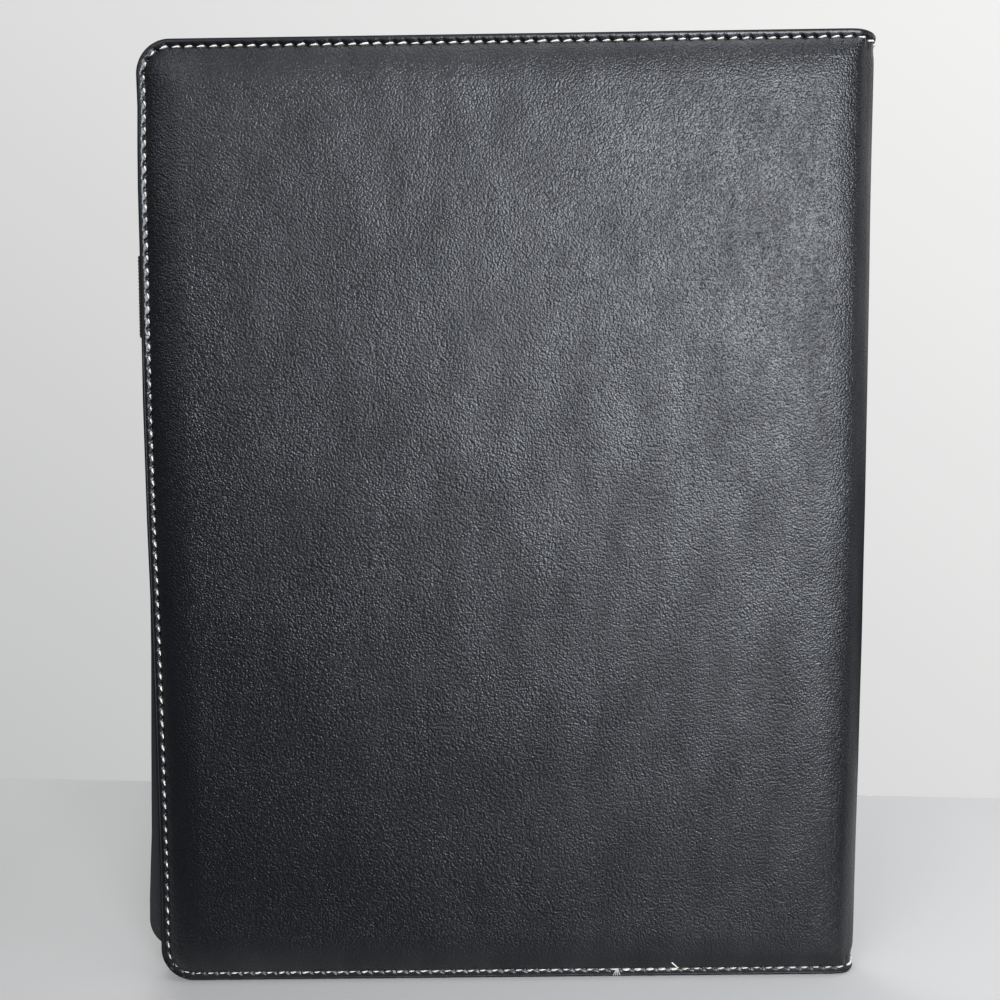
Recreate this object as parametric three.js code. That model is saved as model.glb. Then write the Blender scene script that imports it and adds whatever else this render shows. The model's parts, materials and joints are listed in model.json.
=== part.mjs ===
// A closed padfolio standing on its bottom edge: two padded covers, a round spine between two folds,
// a writing pad held in a slot of the back cover, and pockets on the inside of the front cover.
// Millimetres, +Z up. The back cover faces -Y, the spine is at +X, the open edge at -X.
// Each cover is drawn as if it lay in the XZ plane with its fold line on the Z axis: its outside
// faces -Y, and a level is a height above the inside face of its lining.

import * as THREE from "three";

// Outline of one cover.
const COVER_HEIGHT = 317.5;
const COVER_WIDTH = 238.8; // fold line to free edge
const CORNER_RADIUS = 11.5; // the two corners at the free edge
const FOLD_CORNER_RADIUS = 1.2;
const LEAST_CORNER_RADIUS = 1; // of a ring far in from the edge

// Layers of a cover, from the inside out.
const LINING = 0.5;
const BOARD = 1.8;
const FOAM = 2.2;
const LEATHER = 0.9;
const LAYER_GAP = 0.2;
const FOAM_FOOT = 3; // from the hem to the foot of the foam
const FOAM_EDGE = 0.05; // share of its height that the foam has at its foot

// The sewn hem that frames each cover, and the rise of the padding behind it.
const HEM_WIDTH = 4;
const HEM_THICKNESS = 1.7;
const STITCH_INSET = 2.8;
const CHANNEL_DEPTH = 0.3; // how far the thread pulls the leather below the hem
const HEM_EDGE_ROUND = 0.4;
const PADDING_RISE = 14; // from the stitch line to the flat of the padding
const FOLD_HEM = 1.6; // from the fold line to the foot of the padding

// The spine and the stance of the closed covers.
const COVER_SPACING = 10.2; // lining to lining
const RACK = 4; // how far the front cover has slipped towards the open edge
const SPINE_CROWN = 4; // height of the round spine above its hem
const SPINE_END_RISE = 6; // over which the crown starts behind the stitch line
const HEAD_FLARE = 5.6; // how far the ridge stands out at the head, where the hem is one round
const FOOT_FLARE = 4.3;
const FLARE_FADE = 16; // the flare falls to a third over this length
const LINING_FADE = 5; // the same for the lining, which is sewn to the hem
const SPINE_FILLING_END = 22; // from the spine's head and foot to its stiffener and filling
const SPINE_FOAM_FOOT = 1.4;
const RIDGE_HALF = 0.6; // half the width of the flat along the ridge
const RIDGE_END = 0.1; // flat left between the corner roundings of the ridge
const SPINE_STIFFENER = 1.2;
const FOLD_CLEARANCE = 0.15;

// The writing pad and the slot that holds its backing board.
const PAD_BACKING = 0.7;
const PAD_SHEETS = 4.6;
const PAD_TAPE = 0.2;
const PAD_TAPE_DROP = 24; // how far the binding tape reaches down each face
const PAD_FOLD_MARGIN = 9.5; // fold line to the edge of the pad
const PAD_FREE_MARGIN = 13.4; // edge of the pad to the free edge of the cover
const PAD_HEAD_MARGIN = 8.8; // head of the pad to the top of the cover
const PAD_CORNER = 0.5;
const PAD_FLOAT = 0.1; // play between the layers of the pad
const SLOT_PANEL = 0.5;
const SLOT_HEIGHT = 118;
const SLOT_OVERLAP = 3.2; // how far the slot panel is wider than the pad, at each side
const SLOT_BOTTOM = 7;
const PAD_BOTTOM = SLOT_BOTTOM + SLOT_OVERLAP;
const PAD_WIDTH = COVER_WIDTH - PAD_FOLD_MARGIN - PAD_FREE_MARGIN; // letter size, 215.9
const PAD_HEIGHT = COVER_HEIGHT - PAD_BOTTOM - PAD_HEAD_MARGIN; // letter size and its stub, 298.5
const SLIP_GAP = 0.15; // each side of the slot panel

// The elastic pen loop at the open edge.
const LOOP_BAND = 0.8;
const LOOP_HEIGHT = 27;
const LOOP_WIDTH = 11;
const LOOP_DEPTH = 7.4;
const LOOP_OVERHANG = 2.4; // how far it stands out past the hem
const LOOP_FLAT = 0.15; // half the straight stretch at its two ends
const LOOP_FROM_TOP = 68.5; // top of the cover to the top of the loop

// Pockets on the lining of the front cover.
const POCKET_MARGIN = 4.2; // from the edge of the cover to a pocket panel
const POCKET_FOLD_MARGIN = 6;
const POCKET_PANEL = 0.6;
const POCKET_CORNER = 4;
const BINDING = 0.35;
const BINDING_WIDTH = 5;
const CARD_WIDTH = 98;
const CARD_PANEL = 0.4;
const CARD_PANEL_HEIGHT = 52;
const CARD_STEP = 14; // how far each card pocket stands above the one in front of it
const CARD_BACKING_MARGIN = 3;
const CARD_FOLD_MARGIN = 20;
const CARD_HEAD_MARGIN = 29.3; // from the top of the cover to the backing of the card pockets
const CARD_ABOVE_POCKET = 12;
const PANEL_CORNER = 2;
const ID_GAP = 10; // between the card pockets and the clear pocket
const ID_FREE_MARGIN = 16.8; // clear pocket to the free edge of the cover
const ID_FILM = 0.3;

// Facets.
const CORNER_STEPS = 8;
const FOLD_CORNER_STEPS = 2;
const RISE_STEPS = 5;
const LOOP_STEPS = 6;
const LINING_STEPS = 8; // across the spine
const SPINE_SECTIONS = [5.5, 8, 11.5, 16, 23, 33, 50, 80]; // from the head and from the foot

// Levels that several pieces share.
const HEM_BOTTOM = LINING + LAYER_GAP;
const HEM_TOP = HEM_BOTTOM + HEM_THICKNESS;
const CHANNEL = HEM_TOP - CHANNEL_DEPTH;
const AXIS_LEVEL = HEM_TOP - LEATHER / 2; // the leather itself is the hinge
const BOARD_TOP = HEM_BOTTOM + BOARD;
const COVER_TOP = BOARD_TOP + FOAM + LEATHER + 2 * LAYER_GAP;
const SPINE_STIFFENER_TOP = HEM_BOTTOM + SPINE_STIFFENER;
const SPINE_TOP = HEM_TOP + SPINE_CROWN;

// The spine runs from one fold line to the other. It is square to the covers but for the rack.
const FOLD_SPACING = COVER_SPACING + 2 * AXIS_LEVEL;
const SPINE_WIDTH = Math.hypot(FOLD_SPACING, RACK);
const RACK_ANGLE = Math.atan2(RACK, FOLD_SPACING);
const BACK_FOLD_ANGLE = Math.PI / 2 + RACK_ANGLE;
const FRONT_FOLD_ANGLE = Math.PI / 2 - RACK_ANGLE;

const leather = new THREE.MeshStandardMaterial({ color: 0x1d1e21, roughness: 0.5, metalness: 0 });
const lining = new THREE.MeshStandardMaterial({ color: 0x232427, roughness: 0.85, metalness: 0 });
const foam = new THREE.MeshStandardMaterial({ color: 0x3a3b3d, roughness: 0.95, metalness: 0 });
const greyBoard = new THREE.MeshStandardMaterial({ color: 0x86807a, roughness: 0.9, metalness: 0 });
const chipboard = new THREE.MeshStandardMaterial({ color: 0xa08a68, roughness: 0.9, metalness: 0 });
const paper = new THREE.MeshStandardMaterial({ color: 0xf2f1ea, roughness: 0.9, metalness: 0 });
const tape = new THREE.MeshStandardMaterial({ color: 0x26262a, roughness: 0.7, metalness: 0 });
const elastic = new THREE.MeshStandardMaterial({ color: 0x18181a, roughness: 0.9, metalness: 0 });
const film = new THREE.MeshStandardMaterial({
  color: 0xe8eef0,
  roughness: 0.15,
  metalness: 0,
  transparent: true,
  opacity: 0.4,
});

// How far a layer below the fold's axis is cut back, so that it clears its neighbour when folded.
function foldReach(level) {
  return (AXIS_LEVEL - level) * Math.tan(BACK_FOLD_ANGLE / 2) + FOLD_CLEARANCE;
}

// A rounded rectangle in a plane of constant y. Its corners at x0 and at x1 have their own radii.
function ring({ x0, x1, z0, z1 }, level, radius0, radius1) {
  const points = [];
  const arc = (x, z, radius, start, steps) => {
    for (let i = 0; i <= steps; i += 1) {
      const angle = start + (i / steps) * (Math.PI / 2);
      const px = x + radius * Math.cos(angle);
      const pz = z + radius * Math.sin(angle);
      points.push(new THREE.Vector3(px, AXIS_LEVEL - level, pz));
    }
  };
  arc(x1 - radius1, z0 + radius1, radius1, -Math.PI / 2, FOLD_CORNER_STEPS);
  arc(x1 - radius1, z1 - radius1, radius1, 0, FOLD_CORNER_STEPS);
  arc(x0 + radius0, z1 - radius0, radius0, Math.PI / 2, CORNER_STEPS);
  arc(x0 + radius0, z0 + radius0, radius0, Math.PI, CORNER_STEPS);
  return points;
}

// Turns every face round if the body is inside out.
function facingOut(positions, faces) {
  const [a, b, c] = [new THREE.Vector3(), new THREE.Vector3(), new THREE.Vector3()];
  let volume = 0;
  for (const [i, j, k] of faces) {
    a.copy(positions[i]);
    b.copy(positions[j]);
    c.copy(positions[k]);
    volume += a.dot(b.cross(c));
  }
  return volume < 0 ? faces.map(([i, j, k]) => [i, k, j]) : faces;
}

const fromFront = (p) => new THREE.Vector2(p.x, p.z);
const fromAbove = (p) => new THREE.Vector2(p.x, p.y);

// A closed body through a row of rings, with a flat cap on the first and on the last.
function loft(rings, flatten = fromFront) {
  const count = rings[0].length;
  const positions = rings.flat();
  const faces = [];
  for (let r = 0; r + 1 < rings.length; r += 1) {
    for (let i = 0; i < count; i += 1) {
      const next = (i + 1) % count;
      const [a, b] = [r * count + i, r * count + next];
      faces.push([a, b, b + count], [a, b + count, a + count]);
    }
  }
  const lastStart = (rings.length - 1) * count;
  const cap = (points) => THREE.ShapeUtils.triangulateShape(points.map(flatten), []);
  for (const [a, b, c] of cap(rings[0])) {
    faces.push([a, c, b]);
  }
  for (const [a, b, c] of cap(rings.at(-1))) {
    faces.push([lastStart + a, lastStart + b, lastStart + c]);
  }
  const geometry = new THREE.BufferGeometry();
  geometry.setAttribute(
    "position",
    new THREE.Float32BufferAttribute(positions.flatMap((p) => [p.x, p.y, p.z]), 3),
  );
  geometry.setIndex(facingOut(positions, faces).flat());
  geometry.computeVertexNormals();
  return geometry;
}

// Quarter of an ellipse from its upright start to its flat end: [share of run, share of rise] pairs.
function roundShoulder() {
  return Array.from({ length: RISE_STEPS + 1 }, (_, i) => {
    const angle = (i / RISE_STEPS) * (Math.PI / 2);
    return [1 - Math.cos(angle), Math.sin(angle)];
  });
}

// A ring of a cover, drawn in from its free sides and from its fold line by two distances.
function coverRing(free, fold, level) {
  const sides = {
    x0: -COVER_WIDTH + free,
    x1: -fold,
    z0: free,
    z1: COVER_HEIGHT - free,
  };
  return ring(sides, level, Math.max(CORNER_RADIUS - free, LEAST_CORNER_RADIUS), FOLD_CORNER_RADIUS);
}

// The leather of a cover: a padded top, a sewn hem turned in round three sides, and a hollow for the
// board and the foam that is open towards the lining. It thins to one layer at the fold.
function coverLeather() {
  const flatStart = STITCH_INSET + PADDING_RISE;
  const foldShift = FOLD_HEM - STITCH_INSET;
  const under = roundShoulder().map(([run, rise]) => {
    const free = HEM_WIDTH + (flatStart - HEM_WIDTH) * run;
    const level = CHANNEL - LEATHER + (COVER_TOP - CHANNEL) * rise;
    return coverRing(free, free + foldShift, level);
  });
  const over = roundShoulder().map(([run, rise]) => {
    const free = STITCH_INSET + PADDING_RISE * run;
    return coverRing(free, free + foldShift, CHANNEL + (COVER_TOP - CHANNEL) * rise);
  });
  const foldEdge = foldReach(HEM_TOP - LEATHER);
  const hem = [
    coverRing(HEM_WIDTH, HEM_WIDTH + foldShift, HEM_BOTTOM),
    coverRing(0, foldReach(HEM_BOTTOM), HEM_BOTTOM),
    coverRing(0, foldEdge, HEM_TOP - LEATHER),
    coverRing(0, foldEdge, HEM_TOP - HEM_EDGE_ROUND),
    coverRing(HEM_EDGE_ROUND, foldEdge + HEM_EDGE_ROUND / 2, HEM_TOP),
    coverRing(STITCH_INSET - 2 * CHANNEL_DEPTH, FOLD_HEM - CHANNEL_DEPTH, HEM_TOP),
  ];
  return loft([...under.reverse(), ...hem, ...over]);
}

// The foam under the leather, flat on the board and rounded off all round.
function coverFoam() {
  const bottom = BOARD_TOP + LAYER_GAP;
  const flatStart = STITCH_INSET + PADDING_RISE;
  const foot = HEM_WIDTH + FOAM_FOOT;
  const foldShift = FOLD_HEM - STITCH_INSET;
  const rings = roundShoulder().map(([run, rise]) => {
    const free = foot + (flatStart - foot) * run;
    return coverRing(free, free + foldShift, bottom + FOAM * Math.max(rise, FOAM_EDGE));
  });
  return loft([coverRing(foot, foot + foldShift, bottom), ...rings]);
}

// A flat sheet that follows the outline of the cover at a given distance, between two levels.
function coverSheet(free, fold, from, to) {
  return loft([coverRing(free, fold, from), coverRing(free, fold, to)]);
}

// A flat rectangular panel on the inside of a cover. Depths are measured inwards from the lining.
function insidePanel({ fold, width, z0, z1 }, depth, thickness, corner) {
  const sides = { x0: -fold - width, x1: -fold, z0, z1 };
  return loft([
    ring(sides, -depth, corner, corner),
    ring(sides, -depth - thickness, corner, corner),
  ]);
}

// A strip folded over the upper edge of a panel, with one leg on each face of it.
function foldedBinding({ fold, width, z1 }, panelDepth, panelThickness, thickness, drop, play) {
  const inner = panelDepth - play;
  const outer = panelDepth + panelThickness + play;
  const top = z1 + play;
  const shape = new THREE.Shape([
    new THREE.Vector2(inner - thickness, top - drop),
    new THREE.Vector2(inner, top - drop),
    new THREE.Vector2(inner, top),
    new THREE.Vector2(outer, top),
    new THREE.Vector2(outer, top - drop),
    new THREE.Vector2(outer + thickness, top - drop),
    new THREE.Vector2(outer + thickness, top + thickness / 2),
    new THREE.Vector2(outer + thickness / 2, top + thickness),
    new THREE.Vector2(inner - thickness / 2, top + thickness),
    new THREE.Vector2(inner - thickness, top + thickness / 2),
  ]);
  const strip = new THREE.ExtrudeGeometry(shape, { depth: width, bevelEnabled: false });
  // The shape's x becomes depth into the padfolio and its y becomes height.
  strip.applyMatrix4(
    new THREE.Matrix4().makeBasis(
      new THREE.Vector3(0, 1, 0),
      new THREE.Vector3(0, 0, 1),
      new THREE.Vector3(1, 0, 0),
    ),
  );
  strip.translate(-fold - width, AXIS_LEVEL, 0);
  return strip;
}

// A loop of flat elastic, open upwards and downwards.
function penLoop() {
  const oval = (inset) => {
    const [width, depth] = [LOOP_WIDTH - 2 * inset, LOOP_DEPTH - 2 * inset];
    const radius = depth / 2 - LOOP_FLAT;
    const points = [];
    const corners = [
      [width / 2 - radius, -depth / 2 + radius, -Math.PI / 2],
      [width / 2 - radius, depth / 2 - radius, 0],
      [-width / 2 + radius, depth / 2 - radius, Math.PI / 2],
      [-width / 2 + radius, -depth / 2 + radius, Math.PI],
    ];
    for (const [x, y, start] of corners) {
      for (let i = 0; i <= LOOP_STEPS; i += 1) {
        const angle = start + (i / LOOP_STEPS) * (Math.PI / 2);
        points.push(new THREE.Vector2(x + radius * Math.cos(angle), y + radius * Math.sin(angle)));
      }
    }
    return points;
  };
  const shape = new THREE.Shape(oval(0));
  shape.holes.push(new THREE.Path(oval(LOOP_BAND)));
  const band = new THREE.ExtrudeGeometry(shape, { depth: LOOP_HEIGHT, bevelEnabled: false });
  band.translate(
    -COVER_WIDTH - LOOP_OVERHANG + LOOP_WIDTH / 2,
    AXIS_LEVEL + LAYER_GAP + LOOP_DEPTH / 2,
    COVER_HEIGHT - LOOP_FROM_TOP - LOOP_HEIGHT,
  );
  return band;
}

// A ring of the spine, drawn in from its two ends and from both fold lines.
function spineRing(end, side, level) {
  const sides = { x0: side, x1: SPINE_WIDTH - side, z0: end, z1: COVER_HEIGHT - end };
  const radius = Math.min(FOLD_CORNER_RADIUS, SPINE_WIDTH / 2 - side - RIDGE_END);
  return ring(sides, level, radius, radius);
}

// How far the head and the foot hold the spine in one round at a height, and how far they lift it.
function endHold(z, fade) {
  const head = Math.exp(-Math.max(0, COVER_HEIGHT - z - STITCH_INSET) / fade);
  const foot = Math.exp(-Math.max(0, z - STITCH_INSET) / fade);
  return { held: head + foot, lift: HEAD_FLARE * head + FOOT_FLARE * foot };
}

// A cross-section of the spine from one half of it, a row of [across, level] from a fold to the ridge.
function spineSection(over, under, z, lift) {
  const far = (half) => half.map(([s, level]) => [SPINE_WIDTH - s, level]);
  const outline = [...over, ...far(over).reverse(), ...far(under), ...[...under].reverse()];
  return outline.map(([s, level]) => {
    const dome = 1 - ((2 * s) / SPINE_WIDTH - 1) ** 2;
    return new THREE.Vector3(s, AXIS_LEVEL - level - lift * dome, z);
  });
}

// Heights from the foot to the head, given as distances from either end.
function bothEnds(distances) {
  return [...distances, ...distances.map((end) => COVER_HEIGHT - end).reverse()];
}

// The round leather of the spine, with the same hem as the covers at its two ends.
function spineLeather() {
  const ridge = SPINE_WIDTH / 2 - FOLD_HEM - RIDGE_HALF;
  const wall = HEM_WIDTH - STITCH_INSET;
  const foldEdge = foldReach(HEM_TOP - LEATHER);
  const channelStart = STITCH_INSET - 2 * CHANNEL_DEPTH;
  const hemEnd = HEM_WIDTH + HEM_EDGE_ROUND;
  const ends = [0, HEM_EDGE_ROUND, channelStart, STITCH_INSET, HEM_WIDTH, hemEnd, ...SPINE_SECTIONS];
  const sections = bothEnds(ends).map((z) => {
    const end = Math.min(z, COVER_HEIGHT - z);
    const { held, lift } = endHold(z, FLARE_FADE);
    const rise = Math.min(1, Math.max(0, end - STITCH_INSET) / SPINE_END_RISE);
    const crown = (SPINE_TOP - CHANNEL) * Math.max(0, 1 - held) * rise;
    const hemTop = end < HEM_EDGE_ROUND ? HEM_TOP - HEM_EDGE_ROUND : HEM_TOP;
    const top = end < STITCH_INSET ? hemTop : CHANNEL;
    const bottom = end < hemEnd ? HEM_BOTTOM : CHANNEL - LEATHER;
    const over = [
      [foldReach(HEM_BOTTOM), HEM_BOTTOM],
      [foldEdge, HEM_TOP - LEATHER],
      [foldEdge, HEM_TOP - HEM_EDGE_ROUND],
      [foldEdge + HEM_EDGE_ROUND / 2, hemTop],
      [FOLD_HEM - CHANNEL_DEPTH, hemTop],
      ...roundShoulder().map(([run, up]) => [FOLD_HEM + ridge * run, top + crown * up]),
    ];
    const under = [
      [FOLD_HEM + wall - CHANNEL_DEPTH, HEM_BOTTOM],
      ...roundShoulder().map(([run, up]) => [
        FOLD_HEM + wall + (ridge - wall) * run,
        bottom + crown * up,
      ]),
    ];
    return spineSection(over, under, z, lift);
  });
  return loft(sections, fromAbove);
}

// The lining of the spine, sewn to the round hem at its head and foot.
function spineLining() {
  const side = foldReach(0);
  const half = Array.from({ length: LINING_STEPS / 2 }, (_, i) => {
    return side + (i / LINING_STEPS) * (SPINE_WIDTH - 2 * side);
  });
  const sections = bothEnds([LINING, STITCH_INSET, HEM_WIDTH, ...SPINE_SECTIONS]).map((z) => {
    const { lift } = endHold(z, LINING_FADE);
    const over = half.map((s) => [s, LINING]);
    const under = half.map((s) => [s, 0]);
    return spineSection(over, under, z, lift);
  });
  return loft(sections, fromAbove);
}

function spineFoam() {
  const bottom = SPINE_STIFFENER_TOP + LAYER_GAP;
  const top = SPINE_TOP - LEATHER - LAYER_GAP;
  const foot = FOLD_HEM + HEM_WIDTH - STITCH_INSET + SPINE_FOAM_FOOT;
  const ridge = SPINE_WIDTH / 2 - foot - RIDGE_HALF;
  const rings = roundShoulder().map(([run, rise]) =>
    spineRing(
      SPINE_FILLING_END + SPINE_END_RISE * run,
      foot + ridge * run,
      bottom + (top - bottom) * Math.max(rise, FOAM_EDGE),
    ),
  );
  return loft([spineRing(SPINE_FILLING_END, foot, bottom), ...rings]);
}

function spineSheet(end, side, from, to) {
  return loft([spineRing(end, side, from), spineRing(end, side, to)]);
}

function named(name, geometry, material) {
  const mesh = new THREE.Mesh(geometry, material);
  mesh.name = name;
  return mesh;
}

// The four layers of a cover.
function coverLayers(prefix) {
  const boardInset = HEM_WIDTH + LINING + LAYER_GAP * 2;
  const boardFold = boardInset + FOLD_HEM - STITCH_INSET;
  const liningFold = foldReach(0);
  return [
    named(prefix + "_leather", coverLeather(), leather),
    named(prefix + "_foam", coverFoam(), foam),
    named(prefix + "_board", coverSheet(boardInset, boardFold, HEM_BOTTOM, BOARD_TOP), greyBoard),
    named(prefix + "_lining", coverSheet(LINING, liningFold, 0, LINING), lining),
  ];
}

// The slot panel lies between the backing board and the sheets of the pad.
function slotAndLoop() {
  const panel = {
    fold: PAD_FOLD_MARGIN - SLOT_OVERLAP,
    width: PAD_WIDTH + 2 * SLOT_OVERLAP,
    z0: SLOT_BOTTOM,
    z1: SLOT_BOTTOM + SLOT_HEIGHT,
  };
  const depth = padBackingDepth() + PAD_BACKING + SLIP_GAP;
  return [
    named("pad_slot_panel", insidePanel(panel, depth, SLOT_PANEL, PANEL_CORNER), lining),
    named("pen_loop", penLoop(), elastic),
  ];
}

function padBackingDepth() {
  return PAD_TAPE + 2 * PAD_FLOAT;
}

// Backing board, sheets, and the tape that binds them along the top.
function writingPad() {
  const pad = {
    fold: PAD_FOLD_MARGIN,
    width: PAD_WIDTH,
    z0: PAD_BOTTOM,
    z1: PAD_BOTTOM + PAD_HEIGHT,
  };
  const backing = padBackingDepth();
  const sheets = backing + PAD_BACKING + SLOT_PANEL + 2 * SLIP_GAP;
  const stack = sheets + PAD_SHEETS - backing;
  return [
    named("pad_backing_board", insidePanel(pad, backing, PAD_BACKING, PAD_CORNER), chipboard),
    named("pad_sheets", insidePanel(pad, sheets, PAD_SHEETS, PAD_CORNER), paper),
    named(
      "pad_binding_tape",
      foldedBinding(pad, backing, stack, PAD_TAPE, PAD_TAPE_DROP, PAD_FLOAT),
      tape,
    ),
  ];
}

function cardBackingHeight() {
  return CARD_PANEL_HEIGHT + 2 * CARD_STEP + 2 * CARD_BACKING_MARGIN;
}

function cardFoot() {
  return COVER_HEIGHT - CARD_HEAD_MARGIN - cardBackingHeight();
}

// A large pocket over the lower part of the lining, with a bound mouth.
function documentPocket() {
  const panel = {
    fold: POCKET_FOLD_MARGIN,
    width: COVER_WIDTH - POCKET_FOLD_MARGIN - POCKET_MARGIN,
    z0: POCKET_MARGIN,
    z1: cardFoot() - CARD_ABOVE_POCKET,
  };
  const depth = BINDING + PAD_FLOAT * 2;
  return [
    named("document_pocket_panel", insidePanel(panel, depth, POCKET_PANEL, POCKET_CORNER), lining),
    named(
      "document_pocket_binding",
      foldedBinding(panel, depth, POCKET_PANEL, BINDING, BINDING_WIDTH, PAD_FLOAT),
      leather,
    ),
  ];
}

// Three stepped card pockets on a backing, and a clear pocket beside them.
function cardPockets() {
  const foot = cardFoot();
  const backing = {
    fold: CARD_FOLD_MARGIN,
    width: CARD_WIDTH + 2 * CARD_BACKING_MARGIN,
    z0: foot,
    z1: foot + cardBackingHeight(),
  };
  const pieces = [
    named("card_pocket_backing", insidePanel(backing, LAYER_GAP, CARD_PANEL, PANEL_CORNER), lining),
  ];
  ["top", "middle", "bottom"].forEach((place, i) => {
    const z0 = foot + CARD_BACKING_MARGIN + (2 - i) * CARD_STEP;
    const panel = {
      fold: CARD_FOLD_MARGIN + CARD_BACKING_MARGIN,
      width: CARD_WIDTH,
      z0,
      z1: z0 + CARD_PANEL_HEIGHT,
    };
    const depth = LAYER_GAP + (i + 1) * (CARD_PANEL + LAYER_GAP);
    const pocket = insidePanel(panel, depth, CARD_PANEL, PANEL_CORNER);
    pieces.push(named("card_pocket_" + place, pocket, leather));
  });
  const clearFold = backing.fold + backing.width + ID_GAP;
  const clear = {
    fold: clearFold,
    width: COVER_WIDTH - ID_FREE_MARGIN - clearFold,
    z0: foot,
    z1: foot + CARD_PANEL_HEIGHT + CARD_STEP,
  };
  const depth = BINDING + PAD_FLOAT * 2;
  pieces.push(named("id_pocket_film", insidePanel(clear, depth, ID_FILM, PANEL_CORNER), film));
  const binding = foldedBinding(clear, depth, ID_FILM, BINDING, BINDING_WIDTH, PAD_FLOAT);
  pieces.push(named("id_pocket_binding", binding, leather));
  return pieces;
}

// The front cover is the mirror image of the back cover about the fold line.
function mirrored(meshes) {
  for (const mesh of meshes) {
    mesh.geometry.applyMatrix4(new THREE.Matrix4().makeScale(-1, 1, 1));
    const plain = mesh.geometry.index ? mesh.geometry.toNonIndexed() : mesh.geometry;
    const positions = plain.getAttribute("position");
    const corners = Array.from({ length: positions.count }, (_, i) =>
      new THREE.Vector3().fromBufferAttribute(positions, i),
    );
    const faces = Array.from({ length: corners.length / 3 }, (_, i) => [3 * i, 3 * i + 1, 3 * i + 2]);
    const turned = facingOut(corners, faces).flat();
    const geometry = new THREE.BufferGeometry().setFromPoints(turned.map((i) => corners[i]));
    geometry.computeVertexNormals();
    mesh.geometry = geometry;
  }
  return meshes;
}

function spineLayers() {
  const wall = FOLD_HEM + HEM_WIDTH - STITCH_INSET;
  const stiffenerSide = wall + 2 * LAYER_GAP;
  return [
    named("spine_leather", spineLeather(), leather),
    named("spine_foam", spineFoam(), foam),
    named(
      "spine_stiffener",
      spineSheet(SPINE_FILLING_END, stiffenerSide, HEM_BOTTOM, SPINE_STIFFENER_TOP),
      greyBoard,
    ),
    named("spine_lining", spineLining(), lining),
  ];
}

// Each group turns about its own fold line, as the covers and the spine do.
function padfolio() {
  const backCover = new THREE.Group();
  backCover.add(...coverLayers("back_cover"), ...slotAndLoop(), ...writingPad());

  const spine = new THREE.Group();
  spine.add(...spineLayers());
  spine.rotation.z = BACK_FOLD_ANGLE;
  backCover.add(spine);

  const frontCover = new THREE.Group();
  frontCover.add(...mirrored([...coverLayers("front_cover"), ...documentPocket(), ...cardPockets()]));
  frontCover.position.x = SPINE_WIDTH;
  frontCover.rotation.z = FRONT_FOLD_ANGLE;
  spine.add(frontCover);

  const whole = new THREE.Group();
  whole.add(backCover);
  return whole;
}

// The origin is at the middle of the foot of the closed padfolio.
function standing(model) {
  const box = new THREE.Box3().setFromObject(model, true);
  const centre = box.getCenter(new THREE.Vector3());
  model.children[0].position.set(-centre.x, -centre.y, -box.min.z);
  return model;
}

export default standing(padfolio());
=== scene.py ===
import json
import math

import bpy
import numpy as np
from mathutils import Matrix, Vector, noise


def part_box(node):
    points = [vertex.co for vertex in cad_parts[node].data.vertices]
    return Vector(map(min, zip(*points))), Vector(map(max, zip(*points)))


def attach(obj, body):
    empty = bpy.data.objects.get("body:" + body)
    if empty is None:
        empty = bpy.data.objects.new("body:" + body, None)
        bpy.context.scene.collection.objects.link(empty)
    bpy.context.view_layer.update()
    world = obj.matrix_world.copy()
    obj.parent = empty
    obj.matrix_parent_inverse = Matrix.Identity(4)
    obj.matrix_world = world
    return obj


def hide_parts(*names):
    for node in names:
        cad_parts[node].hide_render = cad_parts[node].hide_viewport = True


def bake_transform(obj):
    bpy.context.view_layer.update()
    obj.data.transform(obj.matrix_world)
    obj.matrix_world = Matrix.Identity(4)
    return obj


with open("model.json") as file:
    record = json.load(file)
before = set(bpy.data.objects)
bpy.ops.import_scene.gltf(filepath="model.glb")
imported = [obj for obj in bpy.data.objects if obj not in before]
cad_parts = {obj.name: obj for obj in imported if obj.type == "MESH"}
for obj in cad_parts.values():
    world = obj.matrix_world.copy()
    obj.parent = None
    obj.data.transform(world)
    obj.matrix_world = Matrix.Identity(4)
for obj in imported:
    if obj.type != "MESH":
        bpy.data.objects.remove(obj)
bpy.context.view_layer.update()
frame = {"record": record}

# Sizes in millimetres, the same as in the part. A level is a height above the inside face of the
# lining. "across" runs from the spine's ridge (negative) over the fold line (0) to the free edge.
MM = 0.001
HEIGHT = 317.5
WIDTH = 238.8  # of a cover, from its fold line to its free edge
CORNER = 11.5
LINING = 0.5
LEATHER = 0.9
CHANNEL = 2.1  # level of the sewn channel's floor
AXIS_LEVEL = 1.95  # level that neither stretches nor shortens in a fold
COVER_TOP = 6.0
SPINE_TOP = 6.4
FOLD_HEM = 1.6  # the padding ends this far from the fold line
PADDING_RISE = 14  # the padding is up to its full height this far from the seam
STITCH_INSET = 2.8
STITCH_PITCH = 4.12
# How far the hem's outer border stands up at the head, and falls off at the foot and free edge.
HEAD_TILT = 0.2
FOOT_TILT = 0.25
SIDE_TILT = 0.6

folds = {j["name"]: j for j in frame["record"]["behaviour"]["joints"]}
BACK_FOLD = np.array(folds["back_fold"]["pos_m"][:2]) / MM
FRONT_FOLD = np.array(folds["front_fold"]["pos_m"][:2]) / MM


# ---- Materials ----

def linear(code):
    """An sRGB hex colour as linear RGBA."""
    parts = [int(code[i : i + 2], 16) / 255 for i in (1, 3, 5)]
    return (*(p / 12.92 if p <= 0.04045 else ((p + 0.055) / 1.055) ** 2.4 for p in parts), 1)


def node(tree, kind, inputs=None, **settings):
    """Adds a shader node, sets its properties, and fills its inputs with values or links."""
    made = tree.nodes.new("ShaderNode" + kind)
    for key, value in settings.items():
        setattr(made, key, value)
    for key, value in (inputs or {}).items():
        if isinstance(value, bpy.types.NodeSocket):
            tree.links.new(value, made.inputs[key])
        else:
            made.inputs[key].default_value = value
    return made


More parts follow.
